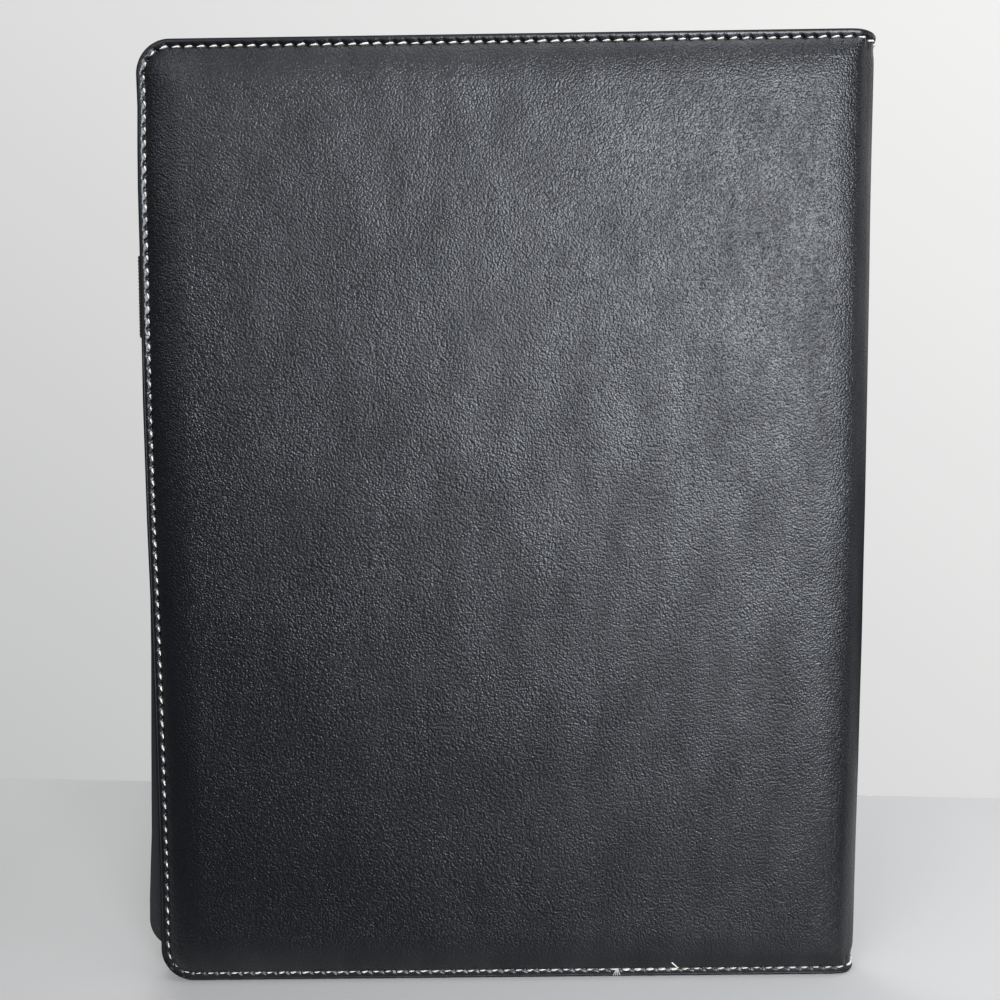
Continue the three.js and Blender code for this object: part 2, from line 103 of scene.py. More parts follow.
def surface(name, **inputs):
    """A new material with one Principled shader. Returns the material, its tree and the shader."""
    material = bpy.data.materials.new(name)
    material.use_nodes = True
    tree = material.node_tree
    tree.nodes.clear()
    shader = node(tree, "BsdfPrincipled", {k.replace("_", " "): v for k, v in inputs.items()})
    node(tree, "OutputMaterial", {"Surface": shader.outputs[0]})
    return material, tree, shader


def leatherette():
    """Black PU leatherette, pressed with a fine pebble grain and rolled half matt.

    The eye sees a soft grey gloss with tiny pebbles in it, cloudy where hands have polished it.
    """
    material, tree, shader = surface("leatherette", IOR=1.45)
    place = node(tree, "TexCoord").outputs["Object"]
    # Pebbles 0.7 mm apart, coarser than the real ones, which are too fine to show in the render.
    pebbles = node(tree, "TexVoronoi", {"Vector": place, "Scale": 1 / 0.0007, "Randomness": 1.0})
    valleys = node(tree, "TexNoise", {"Vector": place, "Scale": 1 / 0.00038, "Detail": 1.0})
    # Clouds 11 mm wide and 29 mm tall run down the cover, where hands have polished it.
    cut = node(tree, "UVMap", uv_map="cut").outputs["UV"]
    tall = node(tree, "Mapping", {"Vector": cut, "Scale": (90.0, 34.0, 1.0)})
    smears = node(tree, "TexNoise", {"Vector": tall.outputs[0], "Scale": 1.0, "Detail": 4.0})
    clouds = smears.outputs[0]
    tint = node(
        tree,
        "Mix",
        {"Factor": clouds, "A": linear("#060709"), "B": linear("#0b0d10")},
        data_type="RGBA",
    )
    # How far a point lies past the flat cut's straight part, on its way to the round border.
    middle = (0.0, HEIGHT / 2 * MM, 0.0)
    straight = ((WIDTH - CORNER) * MM, (HEIGHT / 2 - CORNER) * MM, 0.0)
    centred = node(tree, "VectorMath", {0: cut, 1: middle}, operation="SUBTRACT")
    halved = node(tree, "VectorMath", {0: centred.outputs[0]}, operation="ABSOLUTE")
    past = node(tree, "VectorMath", {0: halved.outputs[0], 1: straight}, operation="SUBTRACT")
    reach = node(tree, "VectorMath", {0: past.outputs[0], 1: (0.0,) * 3}, operation="MAXIMUM")
    away = node(tree, "VectorMath", {0: reach.outputs[0]}, operation="LENGTH").outputs["Value"]
    # The rounded outermost edge is rubbed dull.
    rim = {"From Min": (CORNER - 1.1) * MM, "From Max": (CORNER - 0.3) * MM}
    dull = node(tree, "MapRange", {"Value": away, **rim}).outputs[0]
    # Pressed flat along the hem, the grain is fainter there.
    hem = {"From Min": (CORNER - 3.0) * MM, "From Max": (CORNER - 2.0) * MM}
    crisp = node(tree, "MapRange", {"Value": away, **hem, "To Min": 1.0, "To Max": 0.35})
    # Polished clouds are smoother and glossier, and the rubbed edge is neither.
    polished = {"Value": clouds, "From Min": 0.35, "From Max": 0.65}
    sheen = node(tree, "MapRange", {**polished, "To Min": 0.33, "To Max": 0.28})
    rubbed = node(
        tree, "Math", {0: dull, 1: 0.4, 2: sheen.outputs[0]}, operation="MULTIPLY_ADD"
    )
    gloss = node(tree, "MapRange", {**polished, "To Min": 0.41, "To Max": 0.55})
    kept = node(tree, "Math", {0: dull, 1: -0.75, 2: 1.0}, operation="MULTIPLY_ADD")
    shine = node(
        tree, "Math", {0: gloss.outputs[0], 1: kept.outputs[0]}, operation="MULTIPLY"
    )
    # A few specks of dust, in three of ten cells 40 mm wide.
    specks = node(tree, "TexVoronoi", {"Vector": cut, "Scale": 1 / 0.04, "Randomness": 1.0})
    near = node(
        tree, "Math", {0: specks.outputs["Distance"], 1: 0.0065}, operation="LESS_THAN"
    )
    pick = node(tree, "SeparateXYZ", {0: specks.outputs["Color"]})
    few = node(tree, "Math", {0: pick.outputs["X"], 1: 0.3}, operation="LESS_THAN")
    dust = node(tree, "Math", {0: near.outputs[0], 1: few.outputs[0]}, operation="MULTIPLY")
    dusty = node(
        tree,
        "Mix",
        {"Factor": dust.outputs[0], "A": tint.outputs["Result"], "B": linear("#b9b6ae")},
        data_type="RGBA",
    )
    strength = {"Strength": crisp.outputs[0]}
    grain = node(
        tree,
        "Bump",
        {**strength, "Distance": 0.00014, "Height": pebbles.outputs[0]},
        invert=True,
    )
    creases = node(
        tree,
        "Bump",
        {
            **strength,
            "Distance": 0.0001,
            "Height": valleys.outputs[0],
            "Normal": grain.outputs[0],
        },
    )
    tree.links.new(dusty.outputs["Result"], shader.inputs["Base Color"])
    tree.links.new(rubbed.outputs[0], shader.inputs["Roughness"])
    tree.links.new(shine.outputs[0], shader.inputs["Specular IOR Level"])
    tree.links.new(creases.outputs[0], shader.inputs["Normal"])
    return material


def sewing_thread(name, dark, light, patch, roughness):
    """Polyester thread twisted from three plies, smooth, a little darker where it is handled."""
    material, tree, shader = surface(name, Roughness=roughness, IOR=1.5)
    place = node(tree, "TexCoord").outputs["Object"]
    wear = node(tree, "TexNoise", {"Vector": place, "Scale": 1 / patch, "Detail": 2.0})
    tint = node(
        tree,
        "Mix",
        {"Factor": wear.outputs[0], "A": linear(dark), "B": linear(light)},
        data_type="RGBA",
    )
    tree.links.new(tint.outputs["Result"], shader.inputs["Base Color"])
    return material


def lacquered_board():
    """Fibreboard lacquered a matt pale grey and smooth, with painted light: lighter towards the
    window, greyer away from it.
    """
    material, tree, shader = surface("lacquered_board", Roughness=0.6, IOR=1.45)
    place = node(tree, "TexCoord").outputs["Object"]
    along = node(tree, "SeparateXYZ", {0: place}).outputs["X"]
    # Painted light: the colour is painted lighter towards the window on the right and greyer to the
    # left, where less light falls.
    painted_window_light = node(tree, "MapRange", {"Value": along, "From Min": -0.22, "From Max": 0.22})
    tint = node(
        tree,
        "Mix",
        {"Factor": painted_window_light.outputs[0], "A": linear("#aaa9a6"), "B": linear("#cfcecb")},
        data_type="RGBA",
    )
    tree.links.new(tint.outputs["Result"], shader.inputs["Base Color"])
    return material


def woven(name, dark, light, warp, depth, roughness):
    """A woven cloth from its UV map in metres: threads one warp apart, over and under.

    It is dull, and shows a fine even relief, with painted shade: the low places between the threads
    are painted darker.
    """
    material, tree, shader = surface(name, Roughness=roughness, IOR=1.5)
    cut = node(tree, "UVMap", uv_map="cut").outputs["UV"]
    wander = node(tree, "TexNoise", {"Vector": cut, "Scale": 1 / 0.012, "Detail": 2.0})
    # No thread lies quite straight: they wander by up to 0.6 mm.
    drift = node(
        tree, "VectorMath", {0: wander.outputs["Color"], "Scale": 0.0006}, operation="SCALE"
    )
    drawn = node(tree, "VectorMath", {0: cut, 1: drift.outputs[0]}, operation="ADD")
    threads = node(
        tree, "Mapping", {"Vector": drawn.outputs[0], "Scale": (1 / warp, 1 / warp, 1.0)}
    )
    axes = node(tree, "SeparateXYZ", {0: threads.outputs[0]})
    across = node(tree, "Math", {0: axes.outputs["X"], 1: math.pi}, operation="MULTIPLY")
    along = node(tree, "Math", {0: axes.outputs["Y"], 1: math.pi}, operation="MULTIPLY")
    weft = node(tree, "Math", {0: across.outputs[0]}, operation="SINE")
    twill = node(tree, "Math", {0: along.outputs[0]}, operation="SINE")
    cross = node(tree, "Math", {0: weft.outputs[0], 1: twill.outputs[0]}, operation="MULTIPLY")
    over = node(tree, "MapRange", {"Value": cross.outputs[0], "From Min": -1.0, "From Max": 1.0})
    fibres = node(
        tree, "TexNoise", {"Vector": drawn.outputs[0], "Scale": 1 / 0.00025, "Detail": 1.0}
    )
    blend = node(
        tree, "Math", {0: over.outputs[0], 1: fibres.outputs[0]}, operation="MULTIPLY"
    )
    # Painted shade: where the weave lies low, between the threads, the colour is painted darker.
    tint = node(
        tree,
        "Mix",
        {"Factor": blend.outputs[0], "A": linear(dark), "B": linear(light)},
        data_type="RGBA",
    )
    relief = node(tree, "Bump", {"Strength": 0.8, "Distance": depth, "Height": over.outputs[0]})
    tree.links.new(tint.outputs["Result"], shader.inputs["Base Color"])
    tree.links.new(relief.outputs[0], shader.inputs["Normal"])
    return material


def pressed_board(name, dark, light, fibre):
    """Board pressed from waste paper: dull, with fibres and specks of other colours in it."""
    material, tree, shader = surface(name, Roughness=0.85, IOR=1.5)
    place = node(tree, "TexCoord").outputs["Object"]
    fibres = node(tree, "Mapping", {"Vector": place, "Scale": (1 / fibre, 1 / fibre, 0.4 / fibre)})
    felt = node(tree, "TexNoise", {"Vector": fibres.outputs[0], "Scale": 1.0, "Detail": 5.0})
    specks = node(tree, "TexVoronoi", {"Vector": place, "Scale": 1 / 0.004})
    spot = {"Value": specks.outputs[0], "From Min": 0.05, "From Max": 0.12}
    chip = node(tree, "MapRange", {**spot, "To Min": 0.75, "To Max": 0.0})
    tint = node(
        tree,
        "Mix",
        {"Factor": felt.outputs[0], "A": linear(dark), "B": linear(light)},
        data_type="RGBA",
    )
    speckled = node(
        tree,
        "Mix",
        {"Factor": chip.outputs[0], "A": tint.outputs["Result"], "B": linear("#6d5f4a")},
        data_type="RGBA",
    )
    relief = node(tree, "Bump", {"Strength": 0.4, "Distance": 0.0001, "Height": felt.outputs[0]})
    tree.links.new(speckled.outputs["Result"], shader.inputs["Base Color"])
    tree.links.new(relief.outputs[0], shader.inputs["Normal"])
    return material


def ruled_paper():
    """Uncoated writing paper, ruled in pale blue 7.1 mm apart with a pale red margin line.

    Its cut edges show the sheets as fine grey lines.
    """
    material, tree, shader = surface("ruled_paper", Roughness=0.8, IOR=1.5)
    place = node(tree, "TexCoord").outputs["Object"]
    axes = node(tree, "SeparateXYZ", {0: place})
    shape = node(tree, "NewGeometry").outputs["True Normal"]
    facing = node(tree, "SeparateXYZ", {0: shape})
    front = node(tree, "Math", {0: facing.outputs["Y"], 1: 0.9}, operation="GREATER_THAN")

    def line(value, period, half_width):
        """1 on thin lines one period apart."""
        wave = node(tree, "Math", {0: value, 1: period / 2}, operation="PINGPONG")
        thin = node(tree, "Math", {0: wave.outputs[0], 1: half_width}, operation="LESS_THAN")
        return thin.outputs[0]

    rules = line(axes.outputs["Z"], 0.0071, 0.00018)
    # The ruling starts below a blank head of 55 mm, and the margin line is 32 mm from the side.
    below = node(tree, "Math", {0: axes.outputs["Z"], 1: 0.262}, operation="LESS_THAN")
    ruled = node(tree, "Math", {0: rules, 1: below.outputs[0]}, operation="MULTIPLY")
    aside = node(tree, "Math", {0: axes.outputs["X"], 1: -0.078}, operation="SUBTRACT")
    near = node(tree, "Math", {0: aside.outputs[0]}, operation="ABSOLUTE")
    margin = node(tree, "Math", {0: near.outputs[0], 1: 0.0002}, operation="LESS_THAN")
    pulp = node(tree, "TexNoise", {"Vector": place, "Scale": 1 / 0.003, "Detail": 4.0})
    paper = node(
        tree,
        "Mix",
        {"Factor": pulp.outputs[0], "A": linear("#efece1"), "B": linear("#f6f4ec")},
        data_type="RGBA",
    )
    blue = node(tree, "Math", {0: ruled.outputs[0], 1: front.outputs[0]}, operation="MULTIPLY")
    with_rules = node(
        tree,
        "Mix",
        {"Factor": blue.outputs[0], "A": paper.outputs["Result"], "B": linear("#9db8cf")},
        data_type="RGBA",
    )
    red = node(tree, "Math", {0: margin.outputs[0], 1: front.outputs[0]}, operation="MULTIPLY")
    with_margin = node(
        tree,
        "Mix",
        {"Factor": red.outputs[0], "A": with_rules.outputs["Result"], "B": linear("#d79a9a")},
        data_type="RGBA",
    )
    # Each sheet is 0.1 mm. They are drawn 0.3 mm apart, so that they show.
    cut = line(axes.outputs["Y"], 0.0003, 0.00006)
    side = node(tree, "Math", {0: 1.0, 1: front.outputs[0]}, operation="SUBTRACT")
    edge = node(tree, "Math", {0: cut, 1: side.outputs[0]}, operation="MULTIPLY")
    shade = node(
        tree,
        "Mix",
        {"Factor": edge.outputs[0], "A": with_margin.outputs["Result"], "B": linear("#c9c4b6")},
        data_type="RGBA",
    )
    relief = node(tree, "Bump", {"Strength": 0.15, "Distance": 0.00005, "Height": pulp.outputs[0]})
    tree.links.new(shade.outputs["Result"], shader.inputs["Base Color"])
    tree.links.new(relief.outputs[0], shader.inputs["Normal"])
    return material


def embossed_tape():
    """Book cloth tape: paper embossed with a fine pattern and glued over the head of the pad.

    The emboss gives its dark half-matt face a pebbled shimmer.
    """
    material, tree, shader = surface("binding_tape", Roughness=0.6, IOR=1.5)
    place = node(tree, "TexCoord").outputs["Object"]
    emboss = node(tree, "TexVoronoi", {"Vector": place, "Scale": 1 / 0.0007})
    rub = node(tree, "TexNoise", {"Vector": place, "Scale": 1 / 0.01, "Detail": 3.0})
    tint = node(
        tree,
        "Mix",
        {"Factor": rub.outputs[0], "A": linear("#1b1c1f"), "B": linear("#2b2c30")},
        data_type="RGBA",
    )
    relief = node(tree, "Bump", {"Strength": 0.5, "Distance": 0.00008, "Height": emboss.outputs[0]})
    tree.links.new(tint.outputs["Result"], shader.inputs["Base Color"])
    tree.links.new(relief.outputs[0], shader.inputs["Normal"])
    return material


def clear_vinyl():
    """Soft clear PVC, rolled smooth: it shows what is under it, with a wavy gloss."""
    material, tree, shader = surface("clear_vinyl", Roughness=0.08, IOR=1.53, Alpha=0.22)
    place = node(tree, "TexCoord").outputs["Object"]
    ripple = node(tree, "TexNoise", {"Vector": place, "Scale": 1 / 0.02, "Detail": 1.0})
    tint = node(
        tree,
        "Mix",
        {"Factor": ripple.outputs[0], "A": linear("#d9dfe2"), "B": linear("#eef2f3")},
        data_type="RGBA",
    )
    relief = node(tree, "Bump", {"Strength": 0.3, "Distance": 0.0003, "Height": ripple.outputs[0]})
    tree.links.new(tint.outputs["Result"], shader.inputs["Base Color"])
    tree.links.new(relief.outputs[0], shader.inputs["Normal"])
    return material


LEATHERETTE = leatherette()
CREAM_THREAD = sewing_thread("cream_thread", "#aaa69b", "#d6d2c8", 0.008, 0.55)
BLACK_THREAD = sewing_thread("black_thread", "#151517", "#2c2c2f", 0.004, 0.5)
# Lining: plain polyester cloth. Its threads are drawn 0.5 mm apart, twice as far as the real
# ones, so that they show.
LINING_CLOTH = woven("polyester_lining", "#0a0a0c", "#1c1c1f", 0.0005, 0.00012, 0.75)
# Elastic: rubber cords wrapped in polyester yarn, dull, with painted shade between the ribs of its
# weave.
ELASTIC = woven("ribbed_elastic", "#0a0a0b", "#1c1c1e", 0.0006, 0.00015, 0.8)
GREY_BOARD = pressed_board("grey_board", "#77746e", "#938f88", 0.0015)
CHIPBOARD = pressed_board("chipboard", "#9d8a6c", "#b8a583", 0.002)
WRITING_PAPER = ruled_paper()
BINDING_TAPE = embossed_tape()
CLEAR_VINYL = clear_vinyl()


# ---- Shapes of one half of the outer skin: a cover and the spine up to its ridge ----

def ease(t):
    """0 below 0, 1 above 1, and a soft rise between."""
    t = np.clip(t, 0, 1)
    return t * t * (3 - 2 * t)


def turn(v, angle):
    """A vector in the plan, turned by each angle."""
    c, s = np.cos(angle), np.sin(angle)
    return np.stack([v[0] * c - v[1] * s, v[0] * s + v[1] * c], -1)


LEAN = 2.6  # how far the head stands to the right of the foot
SPINE_BOW = 1.1  # how far the spine bulges halfway up
# Height, and how far the free edge is drawn in there.
FREE_EDGE_WAVE = [
    (0, 0.3), (40, 0.8), (90, 0.7), (125, 0.5), (160, 0.05), (200, -0.05), (242, 0.4),
    (270, 0.5), (284, 0.8), (296, 1.2), (317, 1.0),
]
# Height, and how far the front cover's free edge stands out past the line it was cut to.
FRONT_SPLAY = [
    (0, 4.0), (20, 3.5), (45, 2.2), (80, 1.4), (113, 0.5), (145, 0.0), (242, 0), (296, -1.2),
    (317, -1.0),
]
FOLD_ROUND = 1.2  # the skin starts to bend this far from the fold line, on both sides
HEAD_REACH = 4.2  # the spine's rounded head starts this far onto the cover
FOOT_REACH = 3.0
FRONT_RISE = 4.6  # how much higher the free corner of the front cover's foot is
END_DROOP = 0.5  # how much lower the ridge is there than the covers' corners
HEAD_FLARE = 5.7  # how far the ridge stands out at the head, from the folds' line
FOOT_FLARE = 4.4
HEAD_FADE = 16.0  # the flares fade out over these heights
FOOT_FADE = 10.0
SPAN = FRONT_FOLD - BACK_FOLD
RIDGE = float(np.hypot(*SPAN)) / 2  # from a fold line to the ridge
MIDDLE = (FRONT_FOLD + BACK_FOLD) / 2
SPINE_NORMAL = np.array([SPAN[1], -SPAN[0]]) / (2 * RIDGE)
RIDGE_X = 123.4


class Half:
    """One cover and its half of the spine, as maps from (across, up, height) to points."""

    def __init__(self, fold, outward):
        """From its fold line in the plan, and the y that its cover faces."""
        self.fold = fold
        self.cover = np.array([-1.0, 0.0])
        self.normal = np.array([0.0, outward])
        self.spine = (MIDDLE - fold) / RIDGE
        self.hand = -outward
        cosine = float(-(self.spine @ self.cover))
        self.angle = math.acos(cosine)

    def crease(self, q, level, fold_round=FOLD_ROUND):
        """A layer's course round the fold at one level, with no padding."""
        q = np.asarray(q, float)
        lift = level - AXIS_LEVEL
        radius = fold_round / math.tan(self.angle / 2)
        centre = self.fold + self.cover * fold_round - self.normal * radius
        share = (q + fold_round) / (2 * fold_round)
        bent = turn(SPINE_NORMAL, -self.hand * self.angle * np.clip(share, 0, 1))
        arc = centre + bent * (radius + lift)
        on_cover = self.fold + q[..., None] * self.cover + self.normal * lift
        on_spine = self.fold - q[..., None] * self.spine + SPINE_NORMAL * lift
        out = np.where((q > fold_round)[..., None], on_cover, arc)
        return np.where((q < -fold_round)[..., None], on_spine, out)

    def end(self, q, level, flare, reach):
        """The same course at the spine's head or foot, where it is round from cover to cover."""
        q = np.asarray(q, float)
        lift = level - AXIS_LEVEL
        a = self.fold + self.cover * reach + self.normal * lift
        b = MIDDLE + SPINE_NORMAL * (flare + lift)
        k1 = 0.62 * abs(float((b - a) @ self.cover))
        k2 = 0.55 * abs(float((b - a) @ self.spine))
        t = np.clip((reach - q) / (reach + RIDGE), 0, 1)[..., None]
        curve = (
            (1 - t) ** 3 * a
            + 3 * (1 - t) ** 2 * t * (a - self.cover * k1)
            + 3 * (1 - t) * t**2 * (b - self.spine * k2)
            + t**3 * b
        )
        return np.where((q > reach)[..., None], self.crease(q, level), curve)

    def course(
        self, q, z, level=CHANNEL, head_fade=HEAD_FADE, foot_fade=FOOT_FADE, fold_round=FOLD_ROUND
    ):
        """The crease's course, which turns into the end's towards the head and the foot."""
        head = np.exp(-np.maximum(0, HEIGHT - z - STITCH_INSET) / head_fade)[..., None]
        foot = np.exp(-np.maximum(0, z - STITCH_INSET) / foot_fade)[..., None]
        plain = self.crease(q, level, fold_round)
        return (
            plain
            + head * (self.end(q, level, HEAD_FLARE, HEAD_REACH) - plain)
            + foot * (self.end(q, level, FOOT_FLARE, FOOT_REACH) - plain)
        )

    def frame(self, q, z, **how):
        """Points on the course, and the outward normals there."""
        step = 0.05
        here = self.course(q, z, **how)
        ahead, behind = self.course(q + step, z, **how), self.course(q - step, z, **how)
        along = ahead - behind
        along /= np.linalg.norm(along, axis=-1, keepdims=True)
        outward = np.stack([-along[..., 1], along[..., 0]], -1) * self.hand
        return here, outward


BACK = Half(BACK_FOLD, -1.0)
FRONT = Half(FRONT_FOLD, 1.0)


def inset(q, z):
    """Distance from the hemmed border: top, bottom and free edge, with their round corners."""
    dx = WIDTH - q
    dz = np.minimum(z, HEIGHT - z)
    corner = (dx < CORNER) & (dz < CORNER)
    round_one = CORNER - np.hypot(CORNER - dx, CORNER - dz)
    return np.where(corner, round_one, np.minimum(dx, dz))


def soft_inset(q, z):
    """The same, without the mitre that it would leave inside the corners."""
    d = inset(q, z)
    k = 3.0
    dx = WIDTH - q
    dz = np.minimum(z, HEIGHT - z)
    low = np.minimum(dx, dz)
    soft = low - k * np.log1p(np.exp(-np.abs(dx - dz) / k))
    soft = np.where(np.abs(dx - dz) < 6 * k, soft, low)
    w = ease((d - 6) / 6)
    return d * (1 - w) + soft * w


def shoulder(t, power):
    """A padded edge's rise: steep at first, then round, and flat at the top."""
    t = np.clip(t, 0, 1)
    return (1 - (1 - t) ** 2) ** power


def waves(q, z, scale, seed):
    """Soft noise from -1 to 1 over the surface, with lumps about scale millimetres wide."""
    flat = np.stack([np.ravel(q) / scale, np.ravel(z) / scale], -1)
    values = [noise.noise(Vector((a, b, seed))) for a, b in flat]
    return np.array(values).reshape(np.shape(q))


def stitch_phase(q, z):
    """Distance along the stitch line, in stitches, from the ridge at the foot round to the head."""
    r = CORNER - STITCH_INSET
    bottom = WIDTH - CORNER + RIDGE
    side = HEIGHT - 2 * CORNER
    arc = r * math.pi / 2
    dx = WIDTH - q
    low, high = z < CORNER, z > HEIGHT - CORNER
    corner = dx < CORNER
    angle_low = np.arctan2(CORNER - dx, np.maximum(CORNER - z, 1e-6))
    angle_high = np.arctan2(np.maximum(z - HEIGHT + CORNER, 1e-6), CORNER - dx)
    run = np.where(z < HEIGHT / 2, q + RIDGE, 2 * bottom + side + 2 * arc - (q + RIDGE))
    run = np.where(corner & low, bottom + r * np.clip(angle_low, 0, math.pi / 2), run)
    run = np.where(corner & ~low & ~high, bottom + arc + z - CORNER, run)
    upper = bottom + arc + side + r * np.clip(angle_high, 0, math.pi / 2)
    run = np.where(corner & high, upper, run)
    total = 2 * bottom + side + 2 * arc
    near_side = (~corner) & (dx < np.minimum(z, HEIGHT - z))
    run = np.where(near_side, bottom + arc + z - CORNER, run)
    return run / (total / round(total / STITCH_PITCH))


def pull(q, z, d, hand):
    """How the thread draws the leather in: slanted nicks at the needle holes, then puckers."""
    phase = stitch_phase(q, z)
    index = np.round(phase)
    along = (phase - index) * STITCH_PITCH
    uneven = 0.75 + 0.5 * np.abs(np.sin(index * 12.9898 + 1.7))
    off = d - STITCH_INSET
    lengthways, crossways = 0.7 * (along + hand * off), 0.7 * (along - hand * off)
    nick = -0.5 * uneven * np.exp(-((lengthways / 1.2) ** 2) - (crossways / 0.45) ** 2)
    corner = 1 + 3.5 * np.exp(-(((q - 12) / 16) ** 2) - ((HEIGHT - z) / 20) ** 2)
    fan = np.cos(2 * math.pi * phase + 0.9 * np.sin(index) - 0.5 * hand * off)
    fan = fan * np.exp(-(((off - 1.3) / 1.5) ** 2)) * (off > 0)
    return nick - 0.025 * corner * uneven * fan


def height(half, q, z):
    """Height of the outer face above the channel's level."""
    d = inset(q, z)
    foot = ease((14 - z) / 8)
    head = ease((z - HEIGHT + 14) / 8)
    # The hem is a low round roll, flatter along the foot, with the seam's groove inside it.
    hem = 0.22 + 0.1 * np.sin(np.clip((d - 0.4) / 2.4, 0, 1) * math.pi)
    hem = hem * (1 - 0.6 * foot)
    hem = hem * (1 - ease((d - 1.2) / 1.6)) - 0.12 * np.exp(-(((d - STITCH_INSET) / 0.6) ** 2))
    # Along the free edge it falls off outwards below the pen loop, and at the head it stands up.
    tilt = (HEAD_TILT * head - FOOT_TILT * foot) * ease((WIDTH - CORNER - q) / 10)
    tilt = tilt - SIDE_TILT * ease((q - WIDTH + 16) / 8) * ease((230 - z) / 26)
    hem = hem + tilt * np.clip(1 - d / STITCH_INSET, 0, 1)
    # The padding rises from the seam and from the fold, and where both meet it is rounded by k.
    soft = soft_inset(q, z)
    fold_side = q - FOLD_HEM + STITCH_INSET
    k = 2.0
    both = np.minimum(soft, fold_side) - k * np.log1p(np.exp(-np.abs(soft - fold_side) / k)) * ease(
        (np.minimum(soft, fold_side) - 6) / 6
    )
    cover = (COVER_TOP - CHANNEL) * shoulder((both - STITCH_INSET) / PADDING_RISE, 0.58)
    side = (-q - FOLD_HEM) / (RIDGE - FOLD_HEM)
    ends = np.exp(-np.maximum(0, HEIGHT - z - STITCH_INSET) / HEAD_FADE)
    ends = ends + np.exp(-np.maximum(0, z - STITCH_INSET) / FOOT_FADE)
    spine = (SPINE_TOP - CHANNEL) * shoulder(side, 0.5) * np.maximum(0, 1 - ends)
    spine = spine * ease((d - STITCH_INSET) / 6)
    # Beside the fold the hem and its channel level out.
    return hem + np.where(q > 0, cover, spine) + pull(q, z, d, half.hand)


def bow(points):
    """The cut isn't quite square and straight: a slight lean, a round spine and a wavy free edge.

    The ends of the spine droop, and the foot of the front cover is splayed past the back one.
    """
    out = points.copy()
    up = np.clip(points[..., 2], 0, HEIGHT)
    side = points[..., 0] / 120
    swell = SPINE_BOW * np.sin(up / HEIGHT * math.pi)
    wave = np.interp(up, *zip(*FREE_EDGE_WAVE))
    front = ease((points[..., 1] - 1.5) / 2)
    wave = wave * (1 - front) - front * np.interp(up, *zip(*FRONT_SPLAY))
    out[..., 0] += np.where(side > 0, swell, wave) * side**2 + LEAN * (up / HEIGHT - 0.5)
    droop = END_DROOP * ease((points[..., 0] - RIDGE_X + 11) / 11)
    out[..., 2] -= droop * ease(up / HEIGHT * 6 - 5) - droop * ease(1 - up / HEIGHT * 6)
    out[..., 2] += FRONT_RISE * front * np.clip(0.5 - side / 2, 0, 1) ** 2 * ease(1 - up / 100)
    return out


def skin_points(half, q, z, lift=0.0):
    """Points of the outer face, or of a face that lies lift above it."""
    here, outward = half.frame(q, z)
    # The padding is never quite even: it swells and sinks by 0.16 mm.
    up = height(half, q, z)
    up = up + 0.16 * waves(q, z, 34.0, 3.1 + half.hand) * ease((inset(q, z) - 6) / 20)
    flat = here + outward * (up + lift)[..., None]
    return np.concatenate([flat, z[..., None]], -1)


def level_points(half, q, z, level):
    """Points at a fixed level, which follow the spine's round ends."""
    here, outward = half.frame(q, z)
    flat = here + outward * (level - CHANNEL)
    return np.concatenate([flat, z[..., None]], -1)


# Across the hem, from the inner end of its turned-in underside to its outer face: (inset, level).
HEM_UNDER = [
    (4.6, 0.72), (3.2, 0.72), (1.8, 0.72), (0.9, 0.76), (0.42, 0.86), (0.14, 1.08), (0.02, 1.36),
]
HEM_OVER = [(0.0, 1.66), (0.06, 1.93), (0.2, 2.17), (0.42, 2.33)]
# Insets of the fine rows, of the coarse rows inside them, and of the grid inside those.
ROWS = [
    0.72, 1.05, 1.4, 1.75, 2.02, 2.24, 2.42, 2.6, 2.78, 2.96, 3.14, 3.34, 3.58, 3.86, 4.2, 4.6,
    5.1, 5.7,
]
INNER_ROWS = [6.8, 8.2]
CORE = 9.8
FINE_STEP = 0.36
COARSE = 6  # fine steps to one coarse step


def counts():
    """Coarse steps along the bottom, round a corner and up the free side."""
    coarse = FINE_STEP * COARSE
    bottom = round((WIDTH - CORNER + RIDGE) / coarse)
    arc = max(4, round(CORNER * math.pi / 2 / coarse))
    side = round((HEIGHT - 2 * CORNER) / coarse)
    return bottom, arc, side


def border_row(d, per):
    """(across, up) of the points at inset d, from the ridge's foot round to its head."""
    bottom, arc, side = (n * per for n in counts())
    r = CORNER - d
    q = [np.linspace(-RIDGE, WIDTH - CORNER, bottom, endpoint=False)]
    z = [np.full(bottom, d)]
    a = np.linspace(0, math.pi / 2, arc, endpoint=False)
    q.append(WIDTH - CORNER + r * np.sin(a))
    z.append(CORNER - r * np.cos(a))
    q.append(np.full(side, WIDTH - d))
    z.append(np.linspace(CORNER, HEIGHT - CORNER, side, endpoint=False))
    q.append(WIDTH - CORNER + r * np.cos(a))
    z.append(HEIGHT - CORNER + r * np.sin(a))
    q.append(np.linspace(WIDTH - CORNER, -RIDGE, bottom + 1))
    z.append(np.full(bottom + 1, HEIGHT - d))
    return np.concatenate(q), np.concatenate(z)


def mesh_object(name, points, faces, material, flat=None, sharp=None):
    """A mesh in millimetres. flat gives each point its place on the flat cut, for the UV map."""
    mesh = bpy.data.meshes.new(name)
    mesh.from_pydata((np.asarray(points) * MM).tolist(), [], [list(map(int, f)) for f in faces])
    if flat is not None:
        corners = np.empty(len(mesh.loops), int)
        mesh.loops.foreach_get("vertex_index", corners)
        lay = mesh.uv_layers.new(name="cut")
        lay.data.foreach_set("uv", (np.asarray(flat)[corners] * MM).ravel())
    mesh.shade_smooth()
    if sharp is not None:
        mesh.set_sharp_from_angle(angle=math.radians(sharp))
    mesh.materials.append(material)
    made = bpy.data.objects.new(name, mesh)
    bpy.context.scene.collection.objects.link(made)
    return made


